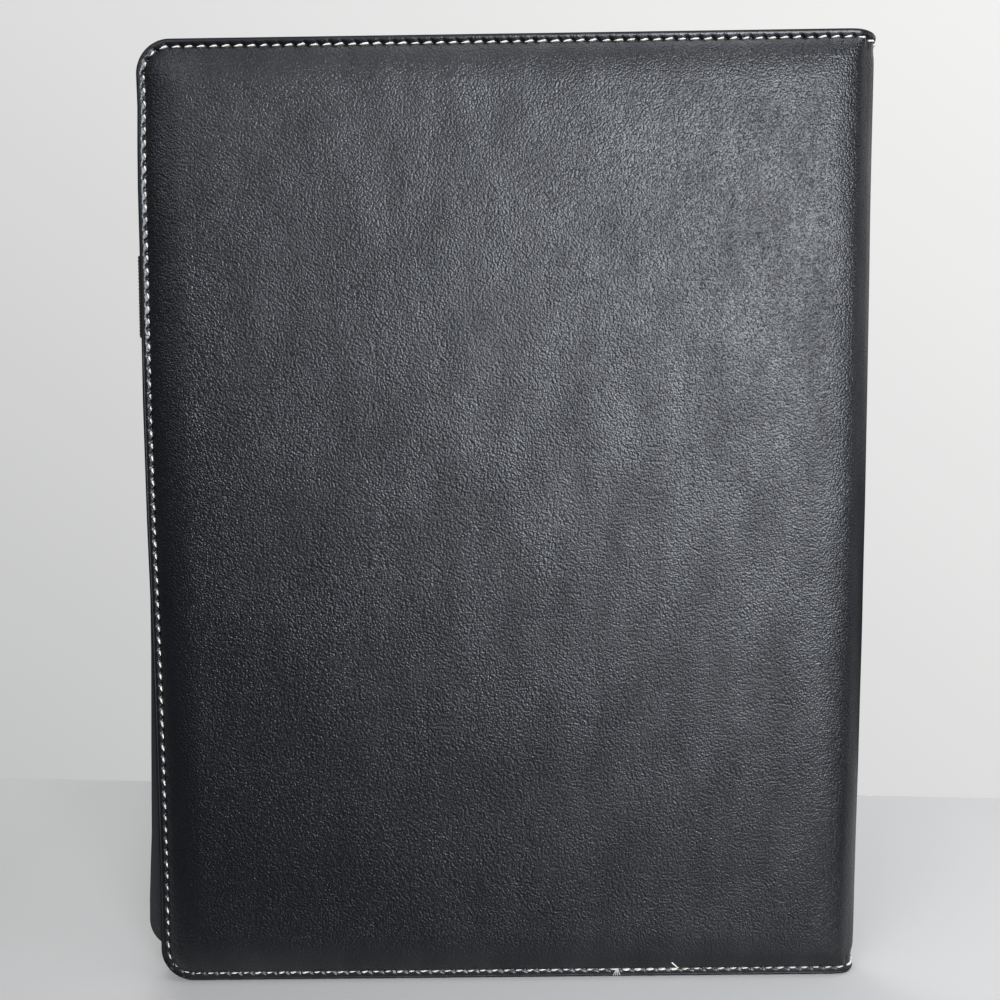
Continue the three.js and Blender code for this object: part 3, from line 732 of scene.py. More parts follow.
def leather_skin(name, half):
    """The outer skin of a cover and half the spine, as one closed shell of leather."""
    points, places, faces = [], [], []
    size = 0

    def add(q, z, level=None, lift=0.0):
        """Adds points and their places on the flat cut, and returns their numbers."""
        nonlocal size
        if level is None:
            row = skin_points(half, q, z, lift)
        else:
            row = level_points(half, q, z, level)
        points.append(row.reshape(-1, 3))
        places.append(np.stack([q.ravel(), z.ravel()], -1))
        start = size
        size += q.size
        return np.arange(start, size).reshape(q.shape)

    def strip(lower, upper):
        """Quads between two rows of equal length."""
        for i in range(len(lower) - 1):
            faces.append((lower[i], lower[i + 1], upper[i + 1], upper[i]))

    def core(lift):
        """The middle of a face: coarse rows, then a grid that their corners fan into."""
        bottom, arc, side = counts()
        loops = [add(*border_row(d, 1), lift=lift) for d in INNER_ROWS]
        for lower, upper in zip(loops, loops[1:]):
            strip(lower, upper)
        across = np.linspace(-RIDGE, WIDTH - CORNER, bottom, endpoint=False)
        up = np.linspace(CORNER, HEIGHT - CORNER, side + 1)[1:-1]
        up = np.concatenate([[CORE], up, [HEIGHT - CORE]])
        q, z = np.meshgrid(np.append(across, WIDTH - CORE), up)
        grid = add(q, z, lift=lift)
        for j in range(len(up) - 1):
            strip(grid[j], grid[j + 1])
        rim = list(grid[0, :-1]) + [grid[0, -1]] * (arc + 1)
        rim += list(grid[1:-1, -1]) + [grid[-1, -1]] * (arc + 1) + list(grid[-1, :-1][::-1])
        last = loops[-1]
        for i in range(len(last) - 1):
            a, b = rim[i], rim[i + 1]
            faces.append((last[i], last[i + 1], b, a) if a != b else (last[i], last[i + 1], a))
        return loops, grid

    def fan(fine, coarse):
        """Joins a fine row to the coarse row inside it."""
        for i in range(len(coarse) - 1):
            spread = [fine[i * COARSE + k] for k in range(COARSE + 1)]
            for k in range(COARSE):
                faces.append((spread[k], spread[k + 1], coarse[i if k < COARSE // 2 else i + 1]))
            faces.append((coarse[i], spread[COARSE // 2], coarse[i + 1]))

    rows = [add(*border_row(d, COARSE), level=level) for d, level in HEM_UNDER + HEM_OVER]
    rows += [add(*border_row(d, COARSE)) for d in ROWS]
    for lower, upper in zip(rows, rows[1:]):
        strip(lower, upper)
    loops, grid = core(0.0)
    fan(rows[-1], loops[0])

    # The inner face starts where the turned-in hem ends, and looks the other way.
    outside = len(faces)
    hem_end = add(*border_row(HEM_UNDER[0][0], COARSE), lift=-LEATHER)
    inner_loops, inner_grid = core(-LEATHER)
    fan(hem_end, inner_loops[0])
    faces[outside:] = [face[::-1] for face in faces[outside:]]
    strip(hem_end, rows[0])

    # The cut along the ridge.
    turn_row = len(HEM_UNDER + HEM_OVER) + ROWS.index(HEM_UNDER[0][0])
    for end, order in ((0, 1), (-1, -1)):
        hem = [row[end] for row in rows[: turn_row + 1]] + [hem_end[end]]
        step = [hem_end[end]] + [row[end] for row in rows[turn_row:]]
        step += [loops[0][end], inner_loops[0][end]]
        faces += [tuple(hem[::order]), tuple(step[::order])]
    out, within = (
        [row[0] for row in rings] + list(middle[:, 0]) + [row[-1] for row in rings[::-1]]
        for rings, middle in ((loops, grid), (inner_loops, inner_grid))
    )
    for a in range(len(out) - 1):
        faces.append((within[a], out[a], out[a + 1], within[a + 1]))
    if half.hand > 0:
        faces = [face[::-1] for face in faces]
    points, places = bow(np.concatenate(points)), np.concatenate(places)
    made = mesh_object(name, points, faces, LEATHERETTE, flat=places, sharp=75)
    return made


def bend_at_fold(piece, half, reach=(1.5, 1.5)):
    """Bakes the piece's placing into its mesh. The ends of its fold, from reach before the fold
    line to reach past it, are worked out but not used.
    """
    aim = half.spine - half.cover
    aim = aim / np.linalg.norm(aim)
    ends = (half.fold - reach[0] * aim, half.fold + reach[1] * aim)
    low, high = ((*(p * MM), 0.0) for p in ends)
    if half is BACK:
        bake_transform(piece)
        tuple(low)
        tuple(high)
    else:
        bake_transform(piece)
        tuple(high)
        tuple(low)


back_skin = leather_skin("back_leather", BACK)
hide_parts("back_cover_leather", "back_cover_foam", "spine_leather", "spine_foam")
bend_at_fold(back_skin, BACK)

front_skin = leather_skin("front_leather", FRONT)
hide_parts("front_cover_leather", "front_cover_foam")
bend_at_fold(front_skin, FRONT)


# ---- Topstitching ----

THREAD_RADIUS = 0.32
THREAD_TWIST = 1.7  # radians a millimetre
BOBBIN_RADIUS = 0.24
LINING_FADE = 5.0  # the lining follows the spine's flares over this height only
SEAM_BOTTOM = WIDTH - CORNER + RIDGE
SEAM_ARC = (CORNER - STITCH_INSET) * math.pi / 2
SEAM_SIDE = HEIGHT - 2 * CORNER
SEAM = 2 * SEAM_BOTTOM + 2 * SEAM_ARC + SEAM_SIDE
STITCHES = round(SEAM / STITCH_PITCH)


def seam_place(run, d):
    """(across, up) at a distance along the seam from the ridge's foot, at inset d."""
    run, d = np.broadcast_arrays(np.asarray(run, float), d)
    r = CORNER - d
    a = np.clip((run - SEAM_BOTTOM) / SEAM_ARC, 0, 1) * math.pi / 2
    b = np.clip((run - SEAM_BOTTOM - SEAM_ARC - SEAM_SIDE) / SEAM_ARC, 0, 1) * math.pi / 2
    on_side = np.clip(run - SEAM_BOTTOM - SEAM_ARC, 0, SEAM_SIDE)
    back = np.maximum(run - (SEAM - SEAM_BOTTOM), 0)
    low = run < SEAM_BOTTOM + SEAM_ARC
    q_low = np.minimum(run, SEAM_BOTTOM) - RIDGE + r * np.sin(a)
    q_high = WIDTH - CORNER + r * np.cos(b) - back
    z_low = CORNER - r * np.cos(a)
    z_high = CORNER + on_side + r * np.sin(b)
    return np.where(low, q_low, q_high), np.where(low, z_low, z_high)


def thread_tube(centres, normals, radius, sides=12):
    """A twisted three-ply thread along each row of centres, closed at both ends."""
    ahead = np.gradient(centres, axis=1)
    ahead /= np.linalg.norm(ahead, axis=-1, keepdims=True)
    across = np.cross(ahead, normals)
    across /= np.linalg.norm(across, axis=-1, keepdims=True)
    up = np.cross(across, ahead)
    count, steps = centres.shape[:2]
    angle = np.linspace(0, 2 * math.pi, sides, endpoint=False)
    strides = np.diff(centres, axis=1, prepend=centres[:, :1])
    length = np.cumsum(np.linalg.norm(strides, axis=-1), axis=1)
    ply = 1 + 0.12 * np.cos(3 * (angle + THREAD_TWIST * length[..., None]))
    spokes = np.cos(angle)[:, None] * up[:, :, None] + np.sin(angle)[:, None] * across[:, :, None]
    ring = centres[:, :, None] + radius * ply[..., None] * spokes
    faces = []
    for c in range(count):
        base = c * steps * sides
        for k in range(steps - 1):
            for i in range(sides):
                j = (i + 1) % sides
                a = base + k * sides
                faces.append((a + i, a + j, a + sides + j, a + sides + i))
        faces.append(tuple(base + i for i in reversed(range(sides))))
        faces.append(tuple(base + (steps - 1) * sides + i for i in range(sides)))
    return ring.reshape(-1, 3), faces


def joined(parts):
    """One list of points and one of faces from several."""
    points, faces, start = [], [], 0
    for p, f in parts:
        points.append(p)
        faces += [tuple(start + i for i in face) for face in f]
        start += len(p)
    return np.concatenate(points), faces


def seam_thread(
    half, first, last, seed, inset_at=STITCH_INSET, slant=0.75, under=False, sink=0.0
):
    """Stitches number first to last, counted from the ridge's foot, as short humps of thread.

    The tighter ones up the free edge show a shorter length than those along the head.
    """
    rng = np.random.default_rng(seed)
    v = np.linspace(-1, 1, 11)
    numbers = np.arange(first, last)[:, None]
    each = numbers.shape
    wander = rng.normal(0, 0.07, each)
    tilt = slant * rng.normal(1, 0.15, each)
    place = numbers * SEAM / STITCHES
    low, high = SEAM_BOTTOM, SEAM - SEAM_BOTTOM
    turns = [low, low + SEAM_ARC, high - SEAM_ARC, high]
    reach = np.interp(place, turns, [0.29, 0.22, 0.22, 0.33]) * rng.normal(1, 0.06, each)
    run = (numbers + 0.5 + reach * v) * SEAM / STITCHES
    q, z = seam_place(run, inset_at + wander - half.hand * tilt * v / 2)
    # Round the corner of the foot the thread was pulled tighter, and lies deeper.
    tight = [low - 30, low, low + SEAM_ARC + 35, low + SEAM_ARC + 60]
    deep = sink + 0.24 * np.interp(place, tight, [0, 1, 1, 0])
    hump = 0.16 - deep + rng.normal(0, 0.04, each) - 0.9 * np.abs(v) ** 4
    if under:
        here, outward = half.frame(q, z, level=0.0, head_fade=LINING_FADE, foot_fade=LINING_FADE)
        outward = -outward
        hump = hump - 0.14
    else:
        here, outward = half.frame(q, z)
    centres = bow(np.concatenate([here + outward * hump[..., None], z[..., None]], -1))
    normals = np.concatenate([outward, np.zeros(q.shape + (1,))], -1)
    return thread_tube(centres, normals, BOBBIN_RADIUS if under else THREAD_RADIUS)


def topstitching(name, half, runs, thread, reach=(1.5, 1.5), extra=()):
    """Threads of one half of the padfolio, from (first, last, seed, more settings) runs."""
    tubes = [seam_thread(half, *run[:3], **run[3]) for run in runs] + list(extra)
    made = mesh_object(name, *joined(tubes), thread)
    bend_at_fold(made, half, reach)


def loose_end(path, radius):
    """One loose length of thread over the back cover, through (seam run, inset, height) points."""
    way = np.array(path, float)
    t = np.linspace(0, 1, len(way))
    fine = np.linspace(0, 1, 25)
    run, d, up = (np.interp(ease(fine), t, column) for column in way.T)
    q, z = seam_place(run, d)
    here, outward = BACK.frame(q, z)
    rise = up + height(BACK, q, z)
    centres = bow(np.concatenate([here + outward * rise[:, None], z[:, None]], -1))
    normals = np.concatenate([outward, np.zeros((len(q), 1))], -1)
    return thread_tube(centres[None], normals[None], radius, sides=8)


# The seam is sewn over itself for five stitches, near the middle of the back cover's foot.
OVERSEWN = (16, 21, 7, {"inset_at": STITCH_INSET - 0.35, "slant": 0.2})
# There a thread end hangs over the rim in four strands, and a pulled stitch stands up.
STRANDS = [
    ([(87.4 + 0.2 * k, 3.0, 0.0), (87.2 + 0.4 * k, 2.0, 0.45), (86.6 + 0.8 * k, 0.5, 0.35)], 0.12)
    for k in range(4)
]
PULLED = [([(66.6, 2.9, -0.3), (66.8, 3.7, 0.5), (68.0, 5.1, 0.6), (69.1, 6.0, -0.1)], 0.22)]
topstitching(
    "back_topstitching",
    BACK,
    [(0, STITCHES, 5, {}), OVERSEWN],
    CREAM_THREAD,
    extra=[loose_end(*end) for end in STRANDS + PULLED],
)
LAST = (STITCHES - 1, STITCHES, 4, {"sink": 0.6})
topstitching("front_topstitching", FRONT, [(0, STITCHES - 1, 6, {}), LAST], CREAM_THREAD)
# The thread under the seam is black, so the inside shows black stitches.
UNDER = {"under": True, "slant": 0.2}
topstitching("back_under_stitching", BACK, [(0, STITCHES, 8, UNDER)], BLACK_THREAD, (0.65, 0.25))
topstitching("front_under_stitching", FRONT, [(0, STITCHES, 9, UNDER)], BLACK_THREAD, (1.2, 1.2))


# ---- Helpers for flat pieces ----


def steps(low, high, pitch, ends=(0.12, 0.4, 1.0)):
    """Coordinates from low to high, close together at both ends."""
    count = max(2, round((high - low - 2 * ends[-1]) / pitch) + 1)
    middle = np.linspace(low + ends[-1], high - ends[-1], count)
    near = np.array((0.0, *ends[:-1]))
    return np.concatenate([low + near, middle, high - near[::-1]])


def rounded(x, z, corners):
    """Draws a grid's corners in to quarter circles, from (at high x, at high z, radius) each."""
    x0, x1, z0, z1 = x.min(), x.max(), z.min(), z.max()
    for at_x, at_z, r in corners:
        if r <= 0:
            continue
        sx, sz = (1, -1)[at_x], (1, -1)[at_z]
        cx, cz = (x0, x1)[at_x] + sx * r, (z0, z1)[at_z] + sz * r
        a, b = (cx - x) * sx / r, (cz - z) * sz / r
        inside = (a > 0) & (b > 0)
        a2 = np.where(inside, a * np.sqrt(np.maximum(1 - b**2 / 2, 0)), a)
        b2 = np.where(inside, b * np.sqrt(np.maximum(1 - a**2 / 2, 0)), b)
        x, z = cx - sx * r * a2, cz - sz * r * b2
    return x, z


def sheet_faces(rows, columns, flip):
    """Quads of a closed sheet: a front grid, a back grid numbered the same way, and its walls."""
    faces = []
    count = rows * columns
    for r in range(rows - 1):
        for c in range(columns - 1):
            a = r * columns + c
            faces.append((a, a + columns, a + columns + 1, a + 1))
            faces.append((count + a, count + a + 1, count + a + columns + 1, count + a + columns))
    ring = [(0, c) for c in range(columns)] + [(r, columns - 1) for r in range(1, rows)]
    ring += [(rows - 1, c) for c in range(columns - 2, -1, -1)]
    ring += [(r, 0) for r in range(rows - 2, 0, -1)]
    ring = [r * columns + c for r, c in ring]
    for a, b in zip(ring, ring[1:] + ring[:1]):
        faces.append((a, b, count + b, count + a))
    return [face[::-1] for face in faces] if flip else faces


def node_box(name):
    """The CAD box of a node in millimetres: x0, x1, y0, y1, z0, z1."""
    low, high = (np.array(c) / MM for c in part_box(name))
    return [v for pair in zip(low, high) for v in pair]


def leaf(name, sizes, radii, under, face, material, pitch=3.0, extra_up=(), sewn_in=True):
    """A thin flat piece with round corners, from sizes (x0, x1, z0, z1).

    radii go round its corners: (low x, low z), (high, low), (high, high), (low, high).
    under and face are functions of (x, z, distance from the edge) that give y.
    """
    x0, x1, z0, z1 = sizes
    up = np.unique(np.concatenate([steps(z0, z1, pitch), [v for v in extra_up if z0 < v < z1]]))
    x, z = np.meshgrid(steps(x0, x1, pitch), up)
    edge = np.minimum(np.minimum(x - x0, x1 - x), np.minimum(z - z0, z1 - z))
    places = ((0, 0), (1, 0), (1, 1), (0, 1))
    x, z = rounded(x, z, [(*place, r) for place, r in zip(places, radii)])
    ys = [face(x, z, edge), under(x, z, edge)]
    points = np.concatenate([np.stack([x.ravel(), y.ravel(), z.ravel()], -1) for y in ys])
    flat = np.tile(np.stack([x.ravel(), z.ravel()], -1), (2, 1))
    faces = sheet_faces(*x.shape, ys[0].mean() < ys[1].mean())
    points = bow(points) if sewn_in else points
    return mesh_object(name, points, faces, material, flat=flat, sharp=60)


def blunt(edge):
    """How far a cut edge is worn back: 0.12 mm at the edge itself, nothing from 0.4 mm inside."""
    return 0.12 * np.clip(1 - edge / 0.4, 0, 1) ** 2


def softened(y, toward):
    """A face at y whose edge falls off towards the other side."""
    return lambda x, z, edge: y + toward * blunt(edge) + 0 * x


# ---- Boards, bent with the leather over them ----

STIFFENER_HALF = 4.13
STIFFENER_LEVELS = (1.9, 0.7)


def board(
    name, body, node_name, radii, pitch=8.0, sewn_in=True, material=GREY_BOARD
):
    """A board the size of its CAD node, with softened edges."""
    x0, x1, y0, y1, z0, z1 = node_box(node_name)
    under, face = softened(y0, 1), softened(y1, -1)
    made = leaf(
        name, (x0, x1, z0, z1), radii, under, face, material, pitch=pitch, sewn_in=sewn_in
    )
    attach(made, body)
    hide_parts(node_name)
    return made


def spine_strip():
    """The narrow board in the spine, which stands across between the folds."""
    z0, z1 = node_box("spine_stiffener")[4:]
    across, up = np.meshgrid(
        steps(-STIFFENER_HALF, STIFFENER_HALF, 2.0), steps(z0, z1, 10.0)
    )
    edge = np.minimum(STIFFENER_HALF - np.abs(across), np.minimum(up - z0, z1 - up))
    sides = []
    for level, inward in zip(STIFFENER_LEVELS, (-1, 1)):
        flat = MIDDLE + across[..., None] * SPAN / (2 * RIDGE)
        flat = flat + (level - AXIS_LEVEL + inward * blunt(edge))[..., None] * SPINE_NORMAL
        sides.append(np.concatenate([flat, up[..., None]], -1).reshape(-1, 3))
    places = np.tile(np.stack([across.ravel(), up.ravel()], -1), (2, 1))
    points, faces = bow(np.concatenate(sides)), sheet_faces(*across.shape, True)
    made = mesh_object("spine_board", points, faces, GREY_BOARD, flat=places, sharp=60)
    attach(made, "spine")
    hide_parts("spine_stiffener")


COVER_BOARD = (6.6, 0.5, 0.5, 6.6)  # corner radii: the free edge's are rounder
BOARDS = {
    BACK: board("back_board", "back_cover", "back_cover_board", COVER_BOARD),
    FRONT: board("front_board", "front_cover", "front_cover_board", COVER_BOARD),
}
spine_strip()


# ---- Woven lining, one sheet through each fold ----

LINING_INSET = 0.5
LINING_CORNER = 11.0


def lining(name, half, fold_round):
    """The lining of a cover and half the spine: slack in the middle, drawn in along the seam."""
    across = steps(-RIDGE, WIDTH - LINING_INSET, 3.0)
    across = np.unique(np.concatenate([across, np.arange(-5, 5.01, 0.4)]))
    up = steps(LINING_INSET, HEIGHT - LINING_INSET, 4.0)
    up = np.unique(np.concatenate([up, np.arange(1.5, 12, 1.0)]))
    q, z = rounded(*np.meshgrid(across, up), [(1, 0, LINING_CORNER), (1, 1, LINING_CORNER)])
    slack = 0.05 * waves(q, z, 26.0, 9.4 + half.hand) * ease(inset(q, z) / 20) * ease(q / 20)
    sewn = 0.14 * np.exp(-(((inset(q, z) - STITCH_INSET) / 0.8) ** 2))
    edge = 0.1 * np.clip(1 - (inset(q, z) - LINING_INSET) / 0.5, 0, 1)
    sides = []
    for level in (edge + slack + sewn, LINING - edge + slack + 0.3 * sewn):
        here, outward = half.frame(
            q, z, level=0.0, head_fade=LINING_FADE, foot_fade=LINING_FADE, fold_round=fold_round
        )
        face = np.concatenate([here + outward * level[..., None], z[..., None]], -1)
        sides.append(face.reshape(-1, 3))
    flat = np.tile(np.stack([q.ravel(), z.ravel()], -1), (2, 1))
    points, faces = bow(np.concatenate(sides)), sheet_faces(*q.shape, half.hand < 0)
    made = mesh_object(name, points, faces, LINING_CLOTH, flat=flat, sharp=60)
    return made


back_lining = lining("back_lining", BACK, 3.1)
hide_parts("back_cover_lining", "spine_lining")
bend_at_fold(back_lining, BACK, (0.65, 0.25))
front_lining = lining("front_lining", FRONT, 1.8)
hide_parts("front_cover_lining")
bend_at_fold(front_lining, FRONT, (1.2, 1.2))


# ---- Flat pieces inside: pockets, pad ----

POCKET_PITCH = 3.2
POCKET_THREAD_RADIUS = 0.28


def straight_seam(start, end, normal):
    """A row of stitches from start to end, each a short hump of thread."""
    rng = np.random.default_rng(3)
    start, end, normal = (np.array(v, float) for v in (start, end, normal))
    length = np.linalg.norm(end - start)
    count = round(length / POCKET_PITCH)
    v = np.linspace(-1, 1, 9)
    run = (np.arange(count)[:, None] + 0.5 + 0.37 * v + rng.normal(0, 0.015, (count, 1))) / count
    hump = 0.08 - 0.6 * np.abs(v) ** 5 + rng.normal(0, 0.02, (count, 1))
    centres = bow(start + run[..., None] * (end - start) + hump[..., None] * normal)
    normals = np.broadcast_to(normal, centres.shape)
    return thread_tube(centres, normals, POCKET_THREAD_RADIUS, sides=8)


def sewn(name, body, seams, slot="lining"):
    """The thread of several straight seams, each from (start, end, normal)."""
    made = mesh_object(name, *joined([straight_seam(*seam) for seam in seams]), BLACK_THREAD)
    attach(made, body)


def folded_strip(name, sizes, thickness, material, corner=0.6, sewn_in=True):
    """A strip folded over an upper edge, from its box (x0, x1, y0, y1, z0, z1)."""
    x0, x1, y0, y1, z0, z1 = sizes
    profiles = []
    for grow in (0.0, thickness):
        r = max(corner - grow, 0.15)
        low, high, top = y0 + grow, y1 - grow, z1 - grow
        angle = np.linspace(math.pi, math.pi / 2, 5)
        left = np.stack([low + r + r * np.cos(angle), top - r + r * np.sin(angle)], -1)
        right = np.stack([low + high - left[::-1, 0], left[::-1, 1]], -1)
        rise = np.linspace(z0, top - r, 6)[:-1]
        before = np.stack([np.full(5, low), rise], -1)
        behind = np.stack([np.full(5, high), rise[::-1]], -1)
        profiles.append(np.concatenate([before, left, right, behind]))
    along = steps(x0, x1, 4.0)
    rng = np.random.default_rng(12)
    # Its cut edges waver a little.
    sway = 0.04 * rng.normal(0, 1, (len(along), 1)) * np.ones((1, len(profiles[0])))
    points, flat = [], []
    for profile in profiles:
        x = np.repeat(along[:, None], len(profile), 1)
        reach = np.cumsum(np.linalg.norm(np.diff(profile, axis=0, prepend=profile[:1]), axis=-1))
        z = profile[None, :, 1] + sway * (profile[None, :, 1] <= z0 + 0.01)
        y = np.repeat(profile[None, :, 0], len(along), 0)
        points.append(np.stack([x, y, z], -1).reshape(-1, 3))
        flat.append(np.stack([x, np.repeat(reach[None], len(along), 0)], -1).reshape(-1, 2))
    faces = sheet_faces(len(along), len(profiles[0]), False)
    points = np.concatenate(points)
    points = bow(points) if sewn_in else points
    return mesh_object(name, points, faces, material, flat=np.concatenate(flat), sharp=50)


# The pad's slot: a panel sewn to the lining on three sides, with a mouth turned in by 9 mm.
x0, x1, y0, y1, z0, z1 = node_box("pad_slot_panel")
SLOT_MOUTH = 9
LINING_FACE = -5.1


def worn(edge):
    """1 at the edge of a panel, falling to 0 in 0.3 mm, to round it."""
    return np.clip(1 - edge / 0.3, 0, 1)


def slot_face(x, z, edge):
    """It lies over the pad's backing board, and comes down to the lining at the sewn edges."""
    side = np.minimum(x - x0, x1 - x)
    rise = ease((np.minimum(side, z - z0) - 0.8) / 2.2)
    low = LINING_FACE + LINING + 0.02
    hem = 0.3 * ease((z - (z1 - SLOT_MOUTH)) / 0.5) * ease((side - 1.5) / 1.5)
    slack = 0.08 * waves(x, z, 30.0, 2.2) * rise
    return low + rise * (y1 - low) + hem + slack - 0.1 * worn(edge)


def slot_under(x, z, edge):
    """The panel's inner face, one thickness of cloth below."""
    return slot_face(x, z, edge) - 0.45 + 0.15 * worn(edge)


slot = leaf(
    "pad_slot",
    (x0, x1, z0, z1),
    (4, 4, 1, 1),
    slot_under,
    slot_face,
    LINING_CLOTH,
    extra_up=np.arange(z1 - SLOT_MOUTH - 0.4, z1 - SLOT_MOUTH + 0.8, 0.2),
)
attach(slot, "back_cover")
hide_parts("pad_slot_panel")
slot_level = LINING_FACE + LINING + 0.05
sewn(
    "pad_slot_stitching",
    "back_cover",
    [
        ((x0 + 1.4, slot_level, z1 - 1.5), (x0 + 1.4, slot_level, z0 + 4), (0, 1, 0)),
        ((x0 + 4, slot_level, z0 + 1.4), (x1 - 4, slot_level, z0 + 1.4), (0, 1, 0)),
        ((x1 - 1.4, slot_level, z0 + 4), (x1 - 1.4, slot_level, z1 - 1.5), (0, 1, 0)),
        ((x0 + 4, y1 + 0.25, z1 - 7.6), (x1 - 4, y1 + 0.25, z1 - 7.6), (0, 1, 0)),
    ],
)


# The writing pad.
board(
    "pad_chipboard",
    "writing_pad",
    "pad_backing_board",
    (0.6,) * 4,
    pitch=12,
    sewn_in=False,
    material=CHIPBOARD,
)


BUNDLES = 14


def sheet_stack(name, sizes):
    """A block of paper whose edges show bundles of sheets that lie a hair out of line."""
    x0, x1, y0, y1, z0, z1 = sizes
    rng = np.random.default_rng(21)
    x, z = steps(x0, x1, 6.0, (0.1, 1.0)), steps(z0, z1, 8.0, (0.1, 1.0))
    ring = [(a, z0) for a in x[:-1]] + [(x1, b) for b in z[:-1]]
    ring += [(a, z1) for a in x[:0:-1]] + [(x0, b) for b in z[:0:-1]]
    ring = np.array(ring)
    middle = np.array([(x0 + x1) / 2, (z0 + z1) / 2])
    points, faces = [], []
    levels = np.repeat(np.linspace(y0, y1, BUNDLES + 1), 2)[1:-1]
    for k, y in enumerate(levels):
        if k % 2 == 0:
            shift = rng.normal(0, 0.07, 2) * (1, 0.5)
            skew = rng.normal(0, 0.0004)
        aim = (ring - middle) * (1 - 0.0006) + shift
        aim = aim + skew * np.stack([-(ring - middle)[:, 1], (ring - middle)[:, 0]], -1) + middle
        aim = np.clip(aim, (x0, z0), (x1, z1))
        points.append(np.stack([aim[:, 0], np.full(len(aim), y), aim[:, 1]], -1))
    n = len(ring)
    for k in range(len(levels) - 1):
        for i in range(n):
            j = (i + 1) % n
            faces.append((k * n + i, (k + 1) * n + i, (k + 1) * n + j, k * n + j))
    faces.append(tuple(range(n)))
    faces.append(tuple(reversed(range((len(levels) - 1) * n, len(levels) * n))))
    points = np.concatenate(points)
    return mesh_object(name, points, faces, WRITING_PAPER, flat=points[:, (0, 2)], sharp=30)


sheets = sheet_stack("writing_sheets", node_box("pad_sheets"))
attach(sheets, "writing_pad")
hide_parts("pad_sheets")

sizes = node_box("pad_binding_tape")
tape = folded_strip("pad_head_tape", sizes, 0.28, BINDING_TAPE, corner=0.7, sewn_in=False)
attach(tape, "writing_pad")
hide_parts("pad_binding_tape")


# Pockets on the front cover. Their faces look towards the back cover.
x0, x1, y0, y1, z0, z1 = node_box("document_pocket_panel")
FRONT_LINING_FACE = 5.1
OUTER_CORNER = 8
INNER_CORNER = 3


def pocket_face(x, z, edge):
    """It bulges over what it holds, and comes down to the lining at the sewn edges."""
    rise = ease((np.minimum(np.minimum(x - x0, x1 - x), z - z0) - 0.6) / 4.5)
    low = FRONT_LINING_FACE - LINING
    return low + rise * (y0 - low) + 0.1 * waves(x, z, 38.0, 6.6) * rise + 0.1 * worn(edge)


def pocket_under(x, z, edge):
    """The pocket's inner face, one thickness of cloth below."""
    return pocket_face(x, z, edge) + 0.42 - 0.15 * worn(edge)


radii = (OUTER_CORNER, INNER_CORNER, 1, 1)
pocket = leaf(
    "document_pocket", (x0, x1, z0, z1), radii, pocket_under, pocket_face, LINING_CLOTH
)
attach(pocket, "front_cover")
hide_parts("document_pocket_panel")
pocket_level = FRONT_LINING_FACE - LINING - 0.03
sewn(
    "document_pocket_stitching",
    "front_cover",
    [
        ((x0 + 1.3, pocket_level, z1 - 6), (x0 + 1.3, pocket_level, z0 + 8), (0, -1, 0)),
        ((x0 + 8, pocket_level, z0 + 1.3), (x1 - 3, pocket_level, z0 + 1.3), (0, -1, 0)),
        ((x1 - 1.3, pocket_level, z0 + 3), (x1 - 1.3, pocket_level, z1 - 6), (0, -1, 0)),
    ],
)
sizes = node_box("document_pocket_binding")
binding = folded_strip("document_pocket_edge", sizes, 0.4, LEATHERETTE, corner=0.7)
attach(binding, "front_cover")
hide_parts("document_pocket_binding")
mouth = sizes[4] + 1.3
sewn(
    "document_edge_stitching",
    "front_cover",
    [((sizes[0] + 1, sizes[2], mouth), (sizes[1] - 1, sizes[2], mouth), (0, -1, 0))],
    slot="leather",
)

# The card pockets: a cloth backing, and three overlapping pieces with a turned edge each.
CARD_FILL = 0.12  # how far a pocket bulges in the middle
CARD_EDGE = 5  # from the pocket's mouth down to the end of its turned edge
for name, radius, label in (
    ("card_pocket_backing", 2.5, "card_backing"),
    ("card_pocket_top", 2.0, "card_slot_top"),
    ("card_pocket_middle", 2.0, "card_slot_middle"),
    ("card_pocket_bottom", 2.0, "card_slot_bottom"),
):
    x0, x1, y0, y1, z0, z1 = node_box(name)
    cloth = name == "card_pocket_backing"
    bulge = 0 if cloth else CARD_FILL

    def face(x, z, edge, box=(x0, x1, y0, z0, z1), bulge=bulge):
        """The face of this pocket, with a turned upper edge and a slight bulge."""
        x0, x1, y0, z0, z1 = box
        turned = 0.0 if not bulge else 0.12 * ease((z - (z1 - CARD_EDGE)) / 0.4)
        crown = bulge * ease((np.minimum(x - x0, x1 - x) - 2) / 10) * ease((z - z0) / 12)
        return y0 + 0.1 - crown - turned + 0.12 * np.clip(1 - edge / 0.35, 0, 1) ** 2

    made = leaf(
        label,
        (x0, x1, z0, z1),
        (radius,) * 2 + ((radius,) * 2 if cloth else (0.6, 0.6)),
        softened(y1, -1),
        face,
        LINING_CLOTH if cloth else LEATHERETTE,
        extra_up=[z1 - CARD_EDGE + fine for fine in (0.0, 0.2, 0.4, 0.6)],
    )
    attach(made, "front_cover")
    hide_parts(name)
    if cloth:
        seams = [
            ((x0 + 1.2, y0, z0 + 2), (x0 + 1.2, y0, z1 - 2), (0, -1, 0)),
            ((x0 + 2, y0, z1 - 1.2), (x1 - 2, y0, z1 - 1.2), (0, -1, 0)),
            ((x1 - 1.2, y0, z1 - 2), (x1 - 1.2, y0, z0 + 2), (0, -1, 0)),
        ]
        sewn(label + "_stitching", "front_cover", seams)
    else:
        seams = [
            ((x0 + 2, y0 - 0.17, z1 - 3.2), (x1 - 2, y0 - 0.17, z1 - 3.2), (0, -1, 0)),
            ((x0 + 1.3, y0 + 0.05, z1 - 1), (x0 + 1.3, y0 + 0.05, z0 + 1), (0, -1, 0)),
            ((x1 - 1.3, y0 + 0.05, z1 - 1), (x1 - 1.3, y0 + 0.05, z0 + 1), (0, -1, 0)),
        ]
        sewn(label + "_stitching", "front_cover", seams, slot="leather")

